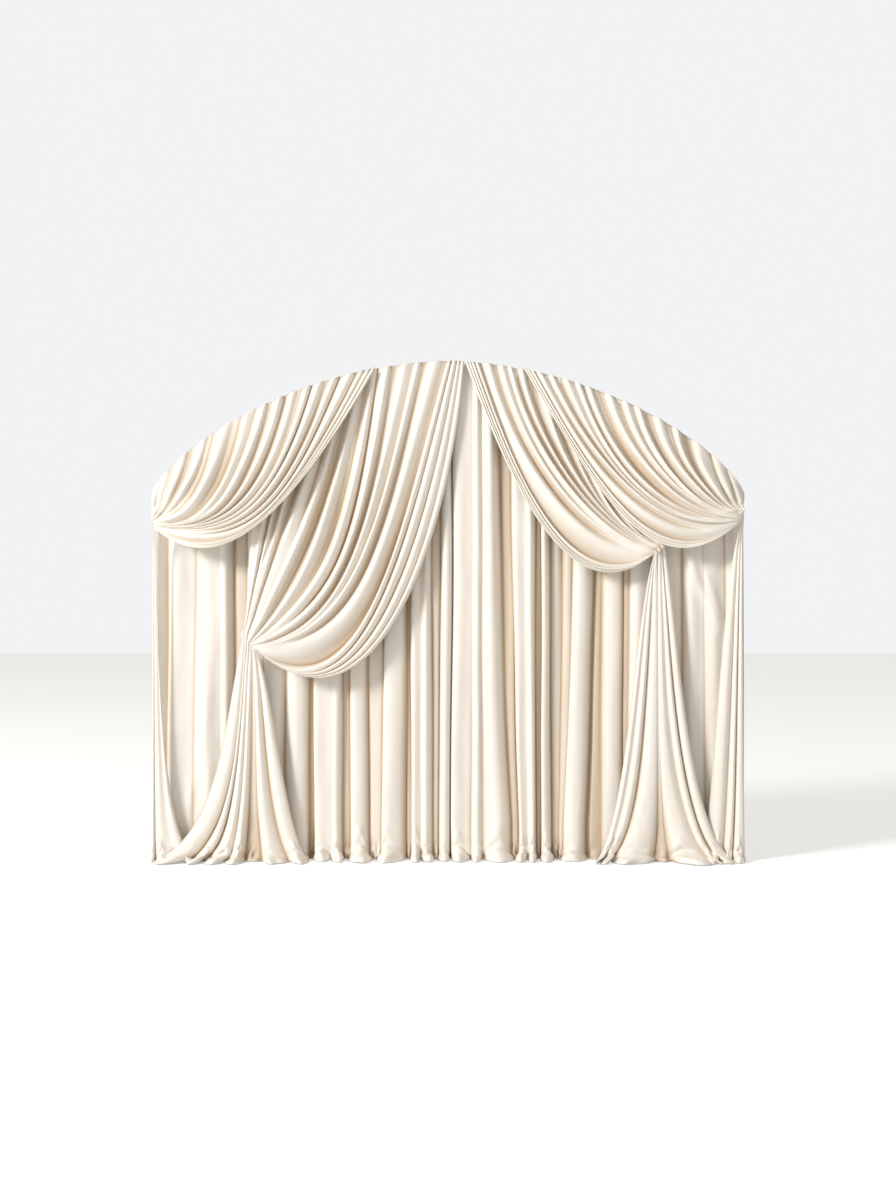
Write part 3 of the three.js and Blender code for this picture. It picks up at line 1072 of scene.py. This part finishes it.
    def room_beside(self, heads: np.ndarray, down: np.ndarray) -> np.ndarray:
        """Room that each crease has beside it, measured square to the cloth's way.

        Args:
            heads: Place of each crease on the top edge, by row and crease.
            down: Stage of each row.

        Returns:
            The distance to the nearer crease, by row and crease.
        """
        stage = np.broadcast_to(down[:, None], heads.shape)
        x, z = self.hung_path(heads, stage)
        x = np.where(stage > 1.0, self.tail_path(heads, np.clip(stage - 1.0, 0.0, 1.0)), x)
        z = np.where(stage > 1.0, self.pinch.z * (1.0 - (stage - 1.0)) + HEM * (stage - 1.0), z)
        way_x, way_z = np.gradient(x, axis=0), np.gradient(z, axis=0)
        length = np.maximum(np.hypot(way_x, way_z), 1e-6)
        across = np.abs(np.diff(x, axis=1) * way_z[:, 1:] - np.diff(z, axis=1) * way_x[:, 1:]) / length[:, 1:]
        return np.minimum(np.hstack([across, across[:, -1:]]), np.hstack([across[:, :1], across]))

    @staticmethod
    def held_in(deep: np.ndarray, limit: np.ndarray) -> np.ndarray:
        """Holds the creases' depths in below a limit, smoothly."""
        return deep * limit / np.hypot(deep, np.maximum(limit, 0.5))

    def crease_depths(self, down: np.ndarray) -> np.ndarray:
        """Depth of each crease above the pinch and a little below it.

        Args:
            down: Stage of each row.

        Returns:
            Depths in millimetres, by row and crease.
        """
        top, belly = self.column_of("top"), self.column_of("belly")
        deep = mix(top, belly, smooth(0.0, 0.5, down)[:, None])
        shown = CurveTable(self.standing, "at").read("fold", down)[:, None]
        goes = 1.0 - smooth(0.0, 1.0, (down[:, None] - self.column_of("end")) / self.RUN_OUT + 1.0)
        return deep * shown * goes * (1.0 + 0.2 * self.wander(down / 3, 3, 12))

    def roll_dip(self, rolls: Folds, heads: np.ndarray, down: np.ndarray) -> np.ndarray:
        """Shape across the few wide rolls of the tail.

        Args:
            rolls: The rolls.
            heads: Place of each of their creases on the top edge, by row and crease.
            down: Stage of each row.

        Returns:
            How far each point lies behind the foremost ridges, in millimetres.
        """
        neck, middle, floor = rolls.column("top"), rolls.column("belly"), rolls.column("tail")
        deep = mix(neck, middle, smooth(1.0, 1.5, down)[:, None])
        deep = deep + (floor - middle) * smooth(1.5, 2.0, down)[:, None]
        deep = self.held_in(deep, self.ROLL_DEPTH * self.room_beside(heads, down))
        backs = rolls.column("back") * smooth(1.0, 1.4, down)[:, None]
        return rolls.dip(deep, backs, 1.2 * smooth(2.2, 2.9, down))

    def drape(self, folds: Folds, down: np.ndarray) -> tuple[np.ndarray, np.ndarray]:
        """Works out where each point of the panel hangs.

        Args:
            folds: The sheet's folds.
            down: Stage of each row.

        Returns:
            Points in millimetres, by row and column, and the painted shade of each from its depth in its
            fold, from 0 to 1.
        """
        head, within, flow = self.column_of("head"), folds.within, CurveTable(self.flow, "head")

        # Place of each point on the top edge, from which its path follows.
        widths = np.diff(head)
        room = np.minimum(np.append(widths, widths[-1]), np.insert(widths, 0, widths[0]))
        heads = head + 0.12 * room * self.wander(down / 3, 1, 10)
        heads[:, 0], heads[:, -1] = head[0], head[-1]
        left, right = folds.beside(heads), folds.beside(heads, 1)
        belly = smooth(0.05, 0.5, down) * (1.0 - smooth(0.8, 1.0, down))
        lean = self.ridge_lean * belly[:, None] + 0.14 * self.wander(down / 3, 2, 8)
        lean = folds.beside(lean * (1.0 - smooth(1.0, 1.3, down))[:, None])
        place = (left + right) / 2 + (right - left) / 2 * (within + lean * (1.0 - within**2))
        stage = np.broadcast_to(down[:, None], place.shape)
        kept = [int(np.argmin(np.abs(head - roll.head))) for roll in self.rolls]
        rolls = Folds.at(self.rolls, heads[:, kept], place)

        # The path, seen from the front: hung above the pinch, and the tail below it.
        x, z = self.hung_path(place, stage)
        _, knot_z = self.knot(place)
        knot_height = knot_z - HEM
        height, forward, run = self.settle(rolls, down, knot_height, flow.read("train", place))
        tail_x = self.tail_path(place, 1.0 - height / knot_height)
        below = stage > 1.0
        x, z = np.where(below, tail_x, x), np.where(below, HEM + height, z)

        # The folds above the pinch give way to the rolls of the tail.
        fades = smooth(1.0, 1.15, stage)
        deep = self.held_in(self.crease_depths(down), self.FOLD_DEPTH * self.room_beside(heads, down))
        dip = folds.dip(deep, 0.0 * heads, 0.0 * down) * (1.0 - fades)
        dip = dip + self.roll_dip(rolls, heads[:, kept], down) * smooth(0.97, 1.12, stage)

        # How far the ridges stand forward, less at the edge on the tied side.
        share_x = self.share_across(place)
        stand = CurveTable(self.standing, "at").read("forward", down)[:, None]
        held = (stand - self.standing[0].forward) * self.edge_hold * (1.0 - smooth(0.0, 0.3, share_x))
        stand = stand - held * (1.0 - smooth(0.6, 1.0, stage))

        # Unevenness of the cloth, and crumples above the pinch.
        loose = 1.0 - bump(stage, 1.0, 0.12)
        swell = 5.0 * Drift(self.seed + 10, 16, 12).read(share_x, stage / 3)
        swell = swell * (1.0 - within**2) * (1.0 - fades) * loose
        ripple = 1.2 * Drift(self.seed + 11, 48, 30).read(share_x, stage / 3) * loose
        crumpled = bump(stage, 0.88, 0.07) * (1.0 - smooth(0.25, 0.6, share_x))
        ripple = ripple + self.crumple * crumpled * Drift(self.seed + 13, 9, 70).read(share_x, stage / 3)
        plain = 1.3 * Drift(self.seed + 12, 60, 24).read((x + HALF_WIDTH) / (2 * HALF_WIDTH), stage / 3)
        ripple = ripple * (1.0 - fades) + plain * fades

        # The gathered bundle at the pinch, and the train on the floor.
        share = 2.0 * share_x - 1.0
        knuckle = bump(stage, 0.96, 0.035)
        turn = np.radians(flow.read("sweep", place))
        y = dip - stand - (swell + ripple) * smooth(0.0, 0.1, stage)
        y = y - self.knuckle * knuckle * (1.0 - share**2)
        y = np.maximum(y - np.where(below, forward + run * np.cos(turn), 0.0), -FRONT)
        spread = np.where(share < 0.0, 0.75, 0.15) * self.knuckle
        x = x - self.side.value * spread * knuckle * share
        x = np.clip(x + np.where(below, run * np.sin(turn), 0.0), -HALF_WIDTH, HALF_WIDTH)
        # The depth in the folds and rolls goes out for the painted crease shade.
        return np.stack([x, y, z], axis=2), self.shade(dip, np.where(below, rolls.within, within))


@dataclass
class TwistedTie:
    """Short twisted band that holds the right inner panel up at its pinch: two strands round each other.

    Attributes:
        node: CAD node that it stands for.
        path: Its middle line: place across, how far forward, and height.
        wide: Width of the band.
        thick: Thickness of the band.
        turns: How often it is turned.
        steps: Rings along it.
        sides: Points round it.
    """

    node: str = "twisted_tie"
    path: tuple[tuple[float, float, float], ...] = (
        (968, 154.5, -912),
        (980, 156.5, -898),
        (996, 156.5, -876),
        (1010, 154.5, -848),
    )
    wide: float = 34.0
    thick: float = 17.0
    turns: float = 1.75
    steps: int = 60
    sides: int = 36

    def build(self) -> bpy.types.Object:
        """Returns:
            The finished piece.
        """
        line = np.array([(x, -forward, z) for x, forward, z in self.path], float) * MM
        shaped = bmesh.new()
        bmesh.ops.create_circle(shaped, cap_ends=True, segments=self.sides, radius=1.0)
        outline = np.array([tuple(v.co) for v in shaped.verts])
        ring = list(shaped.edges)
        verts = list(shaped.verts)
        for step in range(self.steps + 1):
            if step:
                grown = bmesh.ops.extrude_edge_only(shaped, edges=ring)["geom"]
                fresh = [g for g in grown if isinstance(g, bmesh.types.BMVert)]
                order = {tuple(round(c, 7) for c in v.co): v for v in fresh}
                verts = [order[tuple(round(c, 7) for c in v.co)] for v in verts]
                ring = [g for g in grown if isinstance(g, bmesh.types.BMEdge)
                        and g.verts[0] in fresh and g.verts[1] in fresh]
            for vert, spot in zip(verts, self.ring_points(line, outline, step / self.steps)):
                vert.co = spot
        bmesh.ops.edgeloop_fill(shaped, edges=ring)
        bmesh.ops.recalc_face_normals(shaped, faces=shaped.faces)
        mesh = finished_mesh("band_" + self.node, shaped)
        mesh.uv_layers.new(name="cloth")
        mesh.polygons.foreach_set("use_smooth", np.ones(len(mesh.polygons), bool))
        mesh.materials.append(TIE_VELVET.material())
        piece = add_object("band_" + self.node, mesh)
        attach(piece, BODY)
        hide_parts(self.node)
        LOG.info("%s: %d faces", piece.name, len(mesh.polygons))
        return piece

    def ring_points(self, line: np.ndarray, outline: np.ndarray, along: float) -> list[Vector]:
        """Points of one ring of the band.

        Args:
            line: Points of the middle line, in metres.
            outline: Unit circle that the ring is made from.
            along: Share of the way along.

        Returns:
            The ring's points.
        """
        t = along * (len(line) - 1)
        low = min(int(t), len(line) - 2)
        part = t - low
        centre = Vector(line[low] * (1 - part) + line[low + 1] * part)
        ahead = Vector(line[low + 1] - line[low]).normalized()
        side = ahead.cross(Vector((0, -1, 0))).normalized()
        over = side.cross(ahead)
        angle = 2 * math.pi * self.turns * along
        taper = 0.8 + 0.2 * math.sin(math.pi * along)
        points = []
        for x, y, _ in outline:
            waist = 1.0 - 0.35 * (1.0 - abs(x)) ** 2
            wide, thick = x * self.wide / 2 * taper * MM, y * self.thick / 2 * waist * taper * MM
            points.append(centre + side * (wide * math.cos(angle) - thick * math.sin(angle))
                          + over * (wide * math.sin(angle) + thick * math.cos(angle)))
        return points


@dataclass
class Studio:
    """Pale floor, soft light and the camera.

    Attributes:
        distance: Distance of the camera in front of the frame's upright plane, in metres.
        eye: Height of the camera in the frame, in metres.
        view_width: Width of the view at the cloth, in metres.
        cloth_plane: How far in front of that plane the cloth hangs, in metres.
    """

    distance: float = 8.1
    eye: float = -1.119
    view_width: float = 4.211
    cloth_plane: float = 0.1

    def build(self) -> None:
        """Builds floor, lights, world and camera."""
        bpy.context.scene.view_settings.view_transform = "Standard"
        self.floor()
        self.area_light("key", (-13.2, -11.0, 5.9), 4.0, 2800.0, (1.0, 0.99, 0.97))
        self.area_light("fill", (4.5, -5.5, 0.2), 4.0, 15.0, (1.0, 0.97, 0.93))
        self.world()
        self.camera()

    def floor(self) -> None:
        """A plain pale floor under the hem."""
        shaped = bmesh.new()
        bmesh.ops.create_grid(shaped, x_segments=1, y_segments=1, size=30.0,
                              matrix=Matrix.Translation((0.0, 0.0, -HEIGHT * MM)))
        mesh = finished_mesh("studio_floor", shaped)
        material = bpy.data.materials.new("pale_floor")
        material.use_nodes = True
        nodes, links = material.node_tree.nodes, material.node_tree.links
        shader = nodes["Principled BSDF"]
        shader.inputs["Base Color"].default_value = (0.9, 0.9, 0.9, 1.0)
        shader.inputs["Roughness"].default_value = 0.85
        shader.inputs["Emission Color"].default_value = (0.94, 0.98, 1.0, 1.0)
        glow = nodes.new("ShaderNodeMath")
        glow.operation = "MULTIPLY"
        glow.inputs[1].default_value = 0.42
        links.new(nodes.new("ShaderNodeLightPath").outputs["Is Camera Ray"], glow.inputs[0])
        links.new(glow.outputs["Value"], shader.inputs["Emission Strength"])
        mesh.materials.append(material)
        add_object("studio_floor", mesh)

    @staticmethod
    def area_light(name: str, place: tuple[float, float, float], size: float, power: float,
                   colour: tuple[float, float, float]) -> None:
        """Adds a square light that looks at the middle of the drape.

        Args:
            name: Name of the light.
            place: Where it stands, in metres.
            size: Side of the square, in metres.
            power: Power, in watts.
            colour: Its colour.
        """
        data = bpy.data.lights.new(name, "AREA")
        data.size, data.energy, data.color = size, power, colour
        light = add_object(name, data)
        light.location = place
        aim = Vector((0.0, 0.0, -1.1)) - Vector(place)
        light.rotation_euler = aim.to_track_quat("-Z", "Y").to_euler()

    @staticmethod
    def world() -> None:
        """Even pale light from all around, and a near-white background."""
        world = bpy.data.worlds.new("studio")
        bpy.context.scene.world = world
        world.use_nodes = True
        nodes, links = world.node_tree.nodes, world.node_tree.links
        nodes.clear()
        out = nodes.new("ShaderNodeOutputWorld")
        blend = nodes.new("ShaderNodeMixShader")
        path = nodes.new("ShaderNodeLightPath")
        soft, seen = nodes.new("ShaderNodeBackground"), nodes.new("ShaderNodeBackground")
        soft.inputs["Color"].default_value = (1.0, 0.94, 0.86, 1.0)
        soft.inputs["Strength"].default_value = 0.45
        seen.inputs["Color"].default_value = (0.89, 0.895, 0.91, 1.0)
        seen.inputs["Strength"].default_value = 1.0
        links.new(path.outputs["Is Camera Ray"], blend.inputs["Fac"])
        links.new(soft.outputs["Background"], blend.inputs[1])
        links.new(seen.outputs["Background"], blend.inputs[2])
        links.new(blend.outputs["Shader"], out.inputs["Surface"])

    def camera(self) -> None:
        """The camera, square to the drape's middle."""
        data = bpy.data.cameras.new("camera")
        data.sensor_fit = "HORIZONTAL"
        data.sensor_width = 36.0
        data.lens = data.sensor_width * (self.distance - self.cloth_plane) / self.view_width
        camera = add_object("camera", data)
        camera.location = (0.0, -self.distance, self.eye)
        camera.rotation_euler = (math.pi / 2, 0.0, 0.0)
        bpy.context.scene.camera = camera


BACK_DRAGS = (
    Drag(1080, -560, 1292, -1262, 1.9, 34, 15),
    Drag(1165, -560, 1310, -1240, 2.4, 26, 11),
    Drag(1215, -1330, 1300, -1262, 0.8, 16, 7),
    Drag(-1190, -1050, -1120, -2150, 1.2, 40, 8),
    Drag(-1080, -1000, -1230, -2150, 1.6, 34, 7),
)

BACK_STANDING = (Stage(0, 40), Stage(0.3, 60), Stage(0.9, 66), Stage(1, 68), Stage(2, 70))

BACK_CREASES = (
    Crease(-1400, 14, 20, 20, foot=-1398, soft=0.8, lap=-0.3, lies=0.3),
    Crease(-1325, 20, 34, 34, foot=-1335, soft=0.8, lap=-0.3, lies=0.2),
    Crease(-1190, 12, 10, 14, foot=-1210, soft=1.0, lies=0.4),
    Crease(-1080, 12, 8, 10, foot=-1075, soft=1.0, lies=0.2),
    Crease(-1010, 22, 46, 46, foot=-1015, back=34, soft=0.5, flat=5.5, lies=0.2),
    Crease(-955, 20, 40, 40, foot=-960, soft=0.3, flat=5.5, lap=-0.3, lies=0.2),
    Crease(-870, 12, 14, 14, foot=-880, soft=0.8, lap=-0.3, lies=0.2),
    Crease(-765, 20, 34, 34, foot=-772, lap=-0.2, soft=0.5, flat=5.5, lies=0.7),
    Crease(-652, 22, 50, 50, foot=-655, back=46, flat=5.5, lies=0.3),
    Crease(-632, 22, 44, 44, foot=-634, lap=-0.3, flat=5.5),
    Crease(-555, 10, 5, 7, foot=-550, soft=1.0),
    Crease(-500, 20, 44, 44, foot=-500, back=38, flat=4, lies=0.3),
    Crease(-462, 20, 42, 42, foot=-458, lap=-0.35, flat=5.5),
    Crease(-380, 22, 44, 44, foot=-376, back=34, flat=5.5, lies=0.3),
    Crease(-298, 20, 40, 40, foot=-315, lap=-0.3, flat=5.5),
    Crease(-192, 22, 50, 50, foot=-192, back=48, flat=5.5, lies=0.3),
    Crease(-180, 22, 46, 46, foot=-178, lap=-0.45, flat=5.5),
    Crease(-128, 10, 8, 10, foot=-126, soft=1.0),
    Crease(-73, 18, 36, 36, foot=-73, back=30, flat=5.5, lies=0.3),
    Crease(-36, 18, 40, 40, foot=-42, lap=-0.2, flat=5.5, lies=0.7),
    Crease(20, 24, 48, 48, foot=16, lap=-0.45, flat=5.5),
    Crease(112, 12, 10, 14, foot=105, soft=1.0),
    Crease(160, 12, 12, 16, foot=165, soft=1.0),
    Crease(248, 26, 52, 52, foot=300, back=48, gap=0.1, flat=5.5, lies=0.3),
    Crease(300, 26, 50, 50, foot=332, lap=-0.35, flat=5.5),
    Crease(365, 10, 6, 7, foot=375, soft=1.0),
    Crease(418, 20, 46, 46, foot=422, back=40, gap=0.1, flat=5.5, lies=0.3),
    Crease(442, 20, 42, 42, foot=440, lap=-0.35, flat=5.5),
    Crease(490, 22, 50, 50, foot=492, back=38, flat=5.5, lies=0.4),
    Crease(548, 20, 46, 46, foot=528, back=36, soft=1.0, lies=0.4),
    Crease(604, 18, 40, 40, foot=548, lap=-0.3, flat=5.5),
    Crease(712, 24, 50, 50, foot=655, back=40, gap=0.1, flat=5.5, lies=0.3),
    Crease(736, 20, 40, 40, foot=720, back=18, soft=0.4, flat=5.5, lies=0.3),
    Crease(830, 22, 46, 46, foot=826, back=38, flat=5.5, lies=0.2),
    Crease(858, 22, 44, 44, foot=852, soft=0.4, flat=5.5, lap=-0.3, lies=0.2),
    Crease(965, 18, 30, 30, foot=960, soft=0.7, flat=5.5, lap=-0.3, lies=0.2),
    Crease(1110, 18, 26, 22, foot=1100, soft=0.4, lap=-0.3, lies=0.6),
    Crease(1205, 14, 10, 12, foot=1215, soft=1.0, lies=0.6),
    Crease(1310, 16, 16, 22, foot=1315, soft=0.9, lap=-0.3, lies=0.2),
    Crease(1400, 14, 20, 20, foot=1398, soft=0.8, lap=-0.3),
)

LEFT_INNER = DrawnPanel(
    node="panel_left_inner",
    flat=(1.5, 2.75),
    flat_area=2.65,
    held=Held.GATHERED,
    side=Side.LEFT,
    columns=215,
    rows=225,
    seed=300,
    rest=Rest(66.0),
    pinch=Pinch(-928, -1334, 72, 38),
    standing=(
        Stage(0, 65.6, 1), Stage(0.5, 142, 1), Stage(0.85, 172, 0.6), Stage(0.97, 172, 0.3),
        Stage(1.03, 150, 0.25), Stage(1.1, 128, 0.4), Stage(1.5, 134, 1), Stage(1.9, 138, 1),
        Stage(2, 134, 1), Stage(3, 130, 0.6),
    ),
    flow=(
        Flow(-925, 0, 500, 80, 150, -1385, 1.2, -40, 45),
        Flow(-800, 1, 450, 84, 280, -1325, 1.4, -30, 50),
        Flow(-533, 9, 420, 66, 420, -1075, 1.25, -20, 60),
        Flow(-317, 8, 660, 18, 470, -995, 1.2, -10, 45),
        Flow(-240, 11, 680, 9, 492, -950, 1.2, 0, 45),
        Flow(-110, 14, 708, -4, 532, -872, 1.2, 10, 45),
        Flow(2, 15, 730, -40, 690, -735, 0.75, 15, 46),
        Flow(76, 4, 820, -42, 775, -650, 0.5, 20, 30),
    ),
    creases=(
        Crease(-925, 8, 12, 0, flat=3.2),
        Crease(-848, 10, 5, 0, soft=1.0, end=0.6),
        Crease(-770, 24, 34, 0, gap=0.1),
        Crease(-690, 22, 40, 0, end=0.72, gap=0.45),
        Crease(-610, 24, 46, 0, gap=0.3),
        Crease(-520, 16, 20, 0, soft=0.6, end=0.72),
        Crease(-455, 24, 46, 0, soft=0.3, gap=0.5),
        Crease(-378, 24, 38, 0, soft=0.3, gap=0.3),
        Crease(-325, 22, 40, 0, end=0.95),
        Crease(-240, 26, 52, 0, gap=0.45),
        Crease(-165, 16, 22, 0, soft=0.8, end=0.8),
        Crease(-110, 26, 50, 0, soft=0.3, end=0.97, gap=0.3),
        Crease(-10, 24, 58, 0, gap=0.25),
        Crease(18, 18, 34, 0, end=0.95),
        Crease(40, 16, 34, 0),
        Crease(60, 12, 26, 0, end=0.95),
        Crease(76, 10, 16, 0),
    ),
    rolls=(
        Crease(-925, 6, 20, 18, flat=3.2),
        Crease(-690, 10, 38, 34, soft=0.1, flat=3.2),
        Crease(-610, 8, 34, 34, soft=0.1, flat=3.2),
        Crease(-455, 5, 12, 18, soft=0.8, flat=3.2),
        Crease(-240, 14, 74, 54, back=56, flat=3, lies=0.45),
        Crease(-110, 14, 64, 46, flat=3.2),
        Crease(-10, 8, 28, 26, soft=0.6, flat=3.2, lies=0.8),
        Crease(76, 6, 20, 18),
    ),
)

RIGHT_INNER = DrawnPanel(
    node="panel_right_inner",
    flat=(1.3, 2.6),
    flat_area=1.85,
    held=Held.GATHERED,
    ridge_lean=0.3,
    side=Side.RIGHT,
    columns=205,
    rows=225,
    seed=400,
    rest=Rest(64.0),
    pinch=Pinch(988, -893, 66, 42),
    standing=(
        Stage(0, 66, 1), Stage(0.5, 128, 1), Stage(0.85, 146, 0.6), Stage(0.97, 146, 0.3),
        Stage(1.03, 134, 0.25), Stage(1.1, 124, 0.4), Stage(1.5, 134, 1), Stage(1.9, 138, 1),
        Stage(2, 134, 1), Stage(3, 130, 0.6),
    ),
    flow=(
        Flow(80, 20, 610, -40, 515, 694, 0.66, -22, 30),
        Flow(140, 18, 545, -32, 490, 715, 0.9, -30, 50),
        Flow(200, 14, 470, -2, 400, 745, 1.2, -25, 50),
        Flow(298, 12, 430, 18, 350, 830, 1.6, -15, 50),
        Flow(395, 9, 462, 24, 294, 975, 1.9, 0, 45),
        Flow(490, 7, 510, 26, 255, 1045, 1.8, 8, 48),
        Flow(580, 6, 565, 27, 220, 1205, 1.6, 15, 52),
        Flow(720, 4, 565, 32, 165, 1270, 1.2, 20, 48),
        Flow(960, 1, 330, 86, 180, 1342, 1.05, 20, 32),
    ),
    creases=(
        Crease(80, 10, 16, 0),
        Crease(94, 12, 26, 0, end=0.95),
        Crease(109, 14, 30, 0),
        Crease(127, 16, 30, 0, end=0.95),
        Crease(148, 24, 56, 0, gap=0.3),
        Crease(222, 22, 42, 0, soft=0.3, end=0.95, gap=0.4),
        Crease(275, 16, 20, 0, soft=0.8, end=0.8),
        Crease(320, 24, 48, 0, gap=0.45),
        Crease(395, 22, 44, 0, gap=0.4),
        Crease(490, 22, 42, 0, soft=0.3, end=0.95, gap=0.4),
        Crease(560, 16, 22, 0, soft=0.8, end=0.7),
        Crease(610, 22, 46, 0, gap=0.5),
        Crease(725, 20, 40, 0, soft=0.3, gap=0.45),
        Crease(850, 18, 24, 0, end=0.95),
        Crease(960, 14, 16, 0),
    ),
    rolls=(
        Crease(80, 6, 20, 18),
        Crease(148, 3, 8, 9, soft=1.0, flat=3.2),
        Crease(222, 8, 32, 30, soft=0.4, flat=3.2),
        Crease(395, 14, 72, 52, back=54, flat=3, lies=0.45),
        Crease(490, 14, 60, 46, flat=3.2),
        Crease(610, 4, 12, 16, soft=1.0, flat=3.2),
        Crease(725, 10, 44, 42, soft=0.1, flat=3.2),
        Crease(960, 6, 20, 18),
    ),
)

LEFT_OUTER = DrawnPanel(
    node="panel_left_outer",
    flat=(1.25, 2.1),
    flat_area=1.05,
    held=Held.GATHERED,
    edge_hold=0.7,
    knuckle=3.0,
    crumple=9.0,
    side=Side.LEFT,
    columns=215,
    rows=205,
    seed=500,
    pinch=Pinch(-1374, -776, 44, 72),
    standing=(
        Stage(0, 91, 1), Stage(0.45, 208, 1), Stage(0.85, 192, 0.6), Stage(0.97, 170, 0.3),
        Stage(1.03, 146, 0.25), Stage(1.1, 124, 0.4), Stage(1.5, 118, 1), Stage(1.9, 116, 0.9),
        Stage(2, 116, 1), Stage(3, 116, 0.6),
    ),
    flow=(
        Flow(-1396, 0, 60, 92, 50, -1396, 1.0, 0, 30),
        Flow(-1363, 4, 60, 78, 60, -1390, 1.0, 5, 35),
        Flow(-1255, 8, 140, 35, 95, -1368, 1.0, 10, 40),
        Flow(-985, 11, 330, -6, 260, -1325, 1.2, 20, 50),
        Flow(-734, 12, 460, -9, 400, -1275, 1.4, 30, 50),
        Flow(-510, 22, 520, -17, 540, -1225, 1.6, 40, 45),
        Flow(-405, 27, 550, -34, 505, -1200, 1.7, 45, 45),
        Flow(-341, 29, 565, -41, 495, -1188, 1.7, 50, 45),
    ),
    creases=(
        Crease(-1396, 8, 8, 0),
        Crease(-1360, 12, 14, 0, end=0.9),
        Crease(-1290, 16, 18, 0, soft=0.5, gap=0.2),
        Crease(-1220, 24, 34, 0, gap=0.35),
        Crease(-1110, 20, 32, 0, soft=0.4, end=0.92, gap=0.5),
        Crease(-985, 24, 40, 0, gap=0.45),
        Crease(-910, 14, 16, 0, soft=0.8, end=0.7),
        Crease(-845, 24, 42, 0, soft=0.3, gap=0.45),
        Crease(-760, 26, 40, 0, end=0.92, gap=0.3),
        Crease(-690, 22, 36, 0, gap=0.35),
        Crease(-640, 26, 36, 0),
        Crease(-570, 22, 40, 0, soft=0.3, end=0.92, gap=0.35),
        Crease(-510, 24, 36, 0, end=0.92),
        Crease(-428, 24, 46, 0, gap=0.25),
        Crease(-392, 16, 32, 0, end=0.92),
        Crease(-362, 14, 26, 0, end=0.92),
        Crease(-341, 10, 14, 0),
    ),
    rolls=(
        Crease(-1396, 4, 10, 8),
        Crease(-1290, 6, 26, 24, flat=3.2),
        Crease(-760, 3, 8, 8, soft=1.0, flat=3.2),
        Crease(-341, 4, 18, 16),
    ),
)

RIGHT_OUTER = DrawnPanel(
    node="panel_right_outer",
    flat=(1.25, 2.1),
    flat_area=1.25,
    held=Held.GATHERED,
    ridge_lean=0.3,
    edge_hold=0.7,
    knuckle=3.0,
    crumple=9.0,
    side=Side.RIGHT,
    columns=215,
    rows=205,
    seed=600,
    pinch=Pinch(1374, -742, 46, 72),
    standing=(
        Stage(0, 85.6, 1), Stage(0.45, 200, 1), Stage(0.85, 188, 0.6), Stage(0.97, 168, 0.3),
        Stage(1.03, 146, 0.25), Stage(1.1, 124, 0.4), Stage(1.5, 118, 1), Stage(1.9, 116, 0.9),
        Stage(2, 116, 1), Stage(3, 116, 0.6),
    ),
    flow=(
        Flow(358, 30, 635, -42, 570, 1200, 0.0, -40, 45),
        Flow(406, 28, 600, -36, 510, 1222, 0.0, -36, 45),
        Flow(500, 22, 495, -20, 380, 1250, 0.2, -30, 45),
        Flow(610, 17, 495, -10, 360, 1278, 0.4, -24, 45),
        Flow(810, 14, 360, 0, 260, 1316, 0.6, -15, 40),
        Flow(1040, 10, 280, 14, 150, 1346, 0.8, 0, 35),
        Flow(1190, 8, 200, 20, 105, 1368, 1.0, 10, 20),
        Flow(1285, 8, 120, 40, 60, 1382, 1.0, 0, 20),
        Flow(1396, 0, 40, 92, 40, 1396, 1.0, 0, 20),
    ),
    creases=(
        Crease(358, 10, 14, 0),
        Crease(371, 12, 26, 0, end=0.92),
        Crease(386, 14, 32, 0),
        Crease(406, 20, 50, 0, gap=0.25),
        Crease(470, 18, 40, 0, soft=0.3, end=0.92, gap=0.35),
        Crease(530, 24, 46, 0, gap=0.4),
        Crease(585, 18, 24, 0, soft=0.7, end=0.8),
        Crease(640, 20, 40, 0, end=0.92, gap=0.35),
        Crease(718, 24, 44, 0, gap=0.5),
        Crease(812, 24, 40, 0, soft=0.3, end=0.92, gap=0.35),
        Crease(870, 16, 20, 0, soft=0.8, end=0.7),
        Crease(936, 24, 42, 0, gap=0.5),
        Crease(1038, 22, 36, 0, end=0.92, gap=0.35),
        Crease(1128, 22, 34, 0, gap=0.4),
        Crease(1228, 20, 22, 0, end=0.92),
        Crease(1320, 14, 16, 0),
        Crease(1396, 8, 8, 0),
    ),
    rolls=(
        Crease(358, 4, 14, 12),
        Crease(640, 6, 24, 20, soft=0.6, flat=3.2),
        Crease(936, 6, 30, 26, soft=0.2, flat=3.2),
        Crease(1396, 4, 10, 8),
    ),
)

BACK = BackCurtain(
    node="back_curtain",
    flat=(3.6, 2.36),
    held=Held.HUNG,
    creases=BACK_CREASES,
    columns=410,
    rows=115,
    seed=200,
    flat_area=7.9,
    rest=Rest(88.0, puff=34.0, lump=16.0, buckle=12.0),
    standing=BACK_STANDING,
    drags=BACK_DRAGS,
)


def main() -> None:
    """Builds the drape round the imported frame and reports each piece."""
    logging.basicConfig(level=logging.INFO, format="%(name)s %(message)s")
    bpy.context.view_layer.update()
    Studio().build()
    for sheet in (BACK, LEFT_INNER, RIGHT_INNER, LEFT_OUTER, RIGHT_OUTER):
        sheet.build()
    TwistedTie().build()


if __name__ == "__main__":
    main()
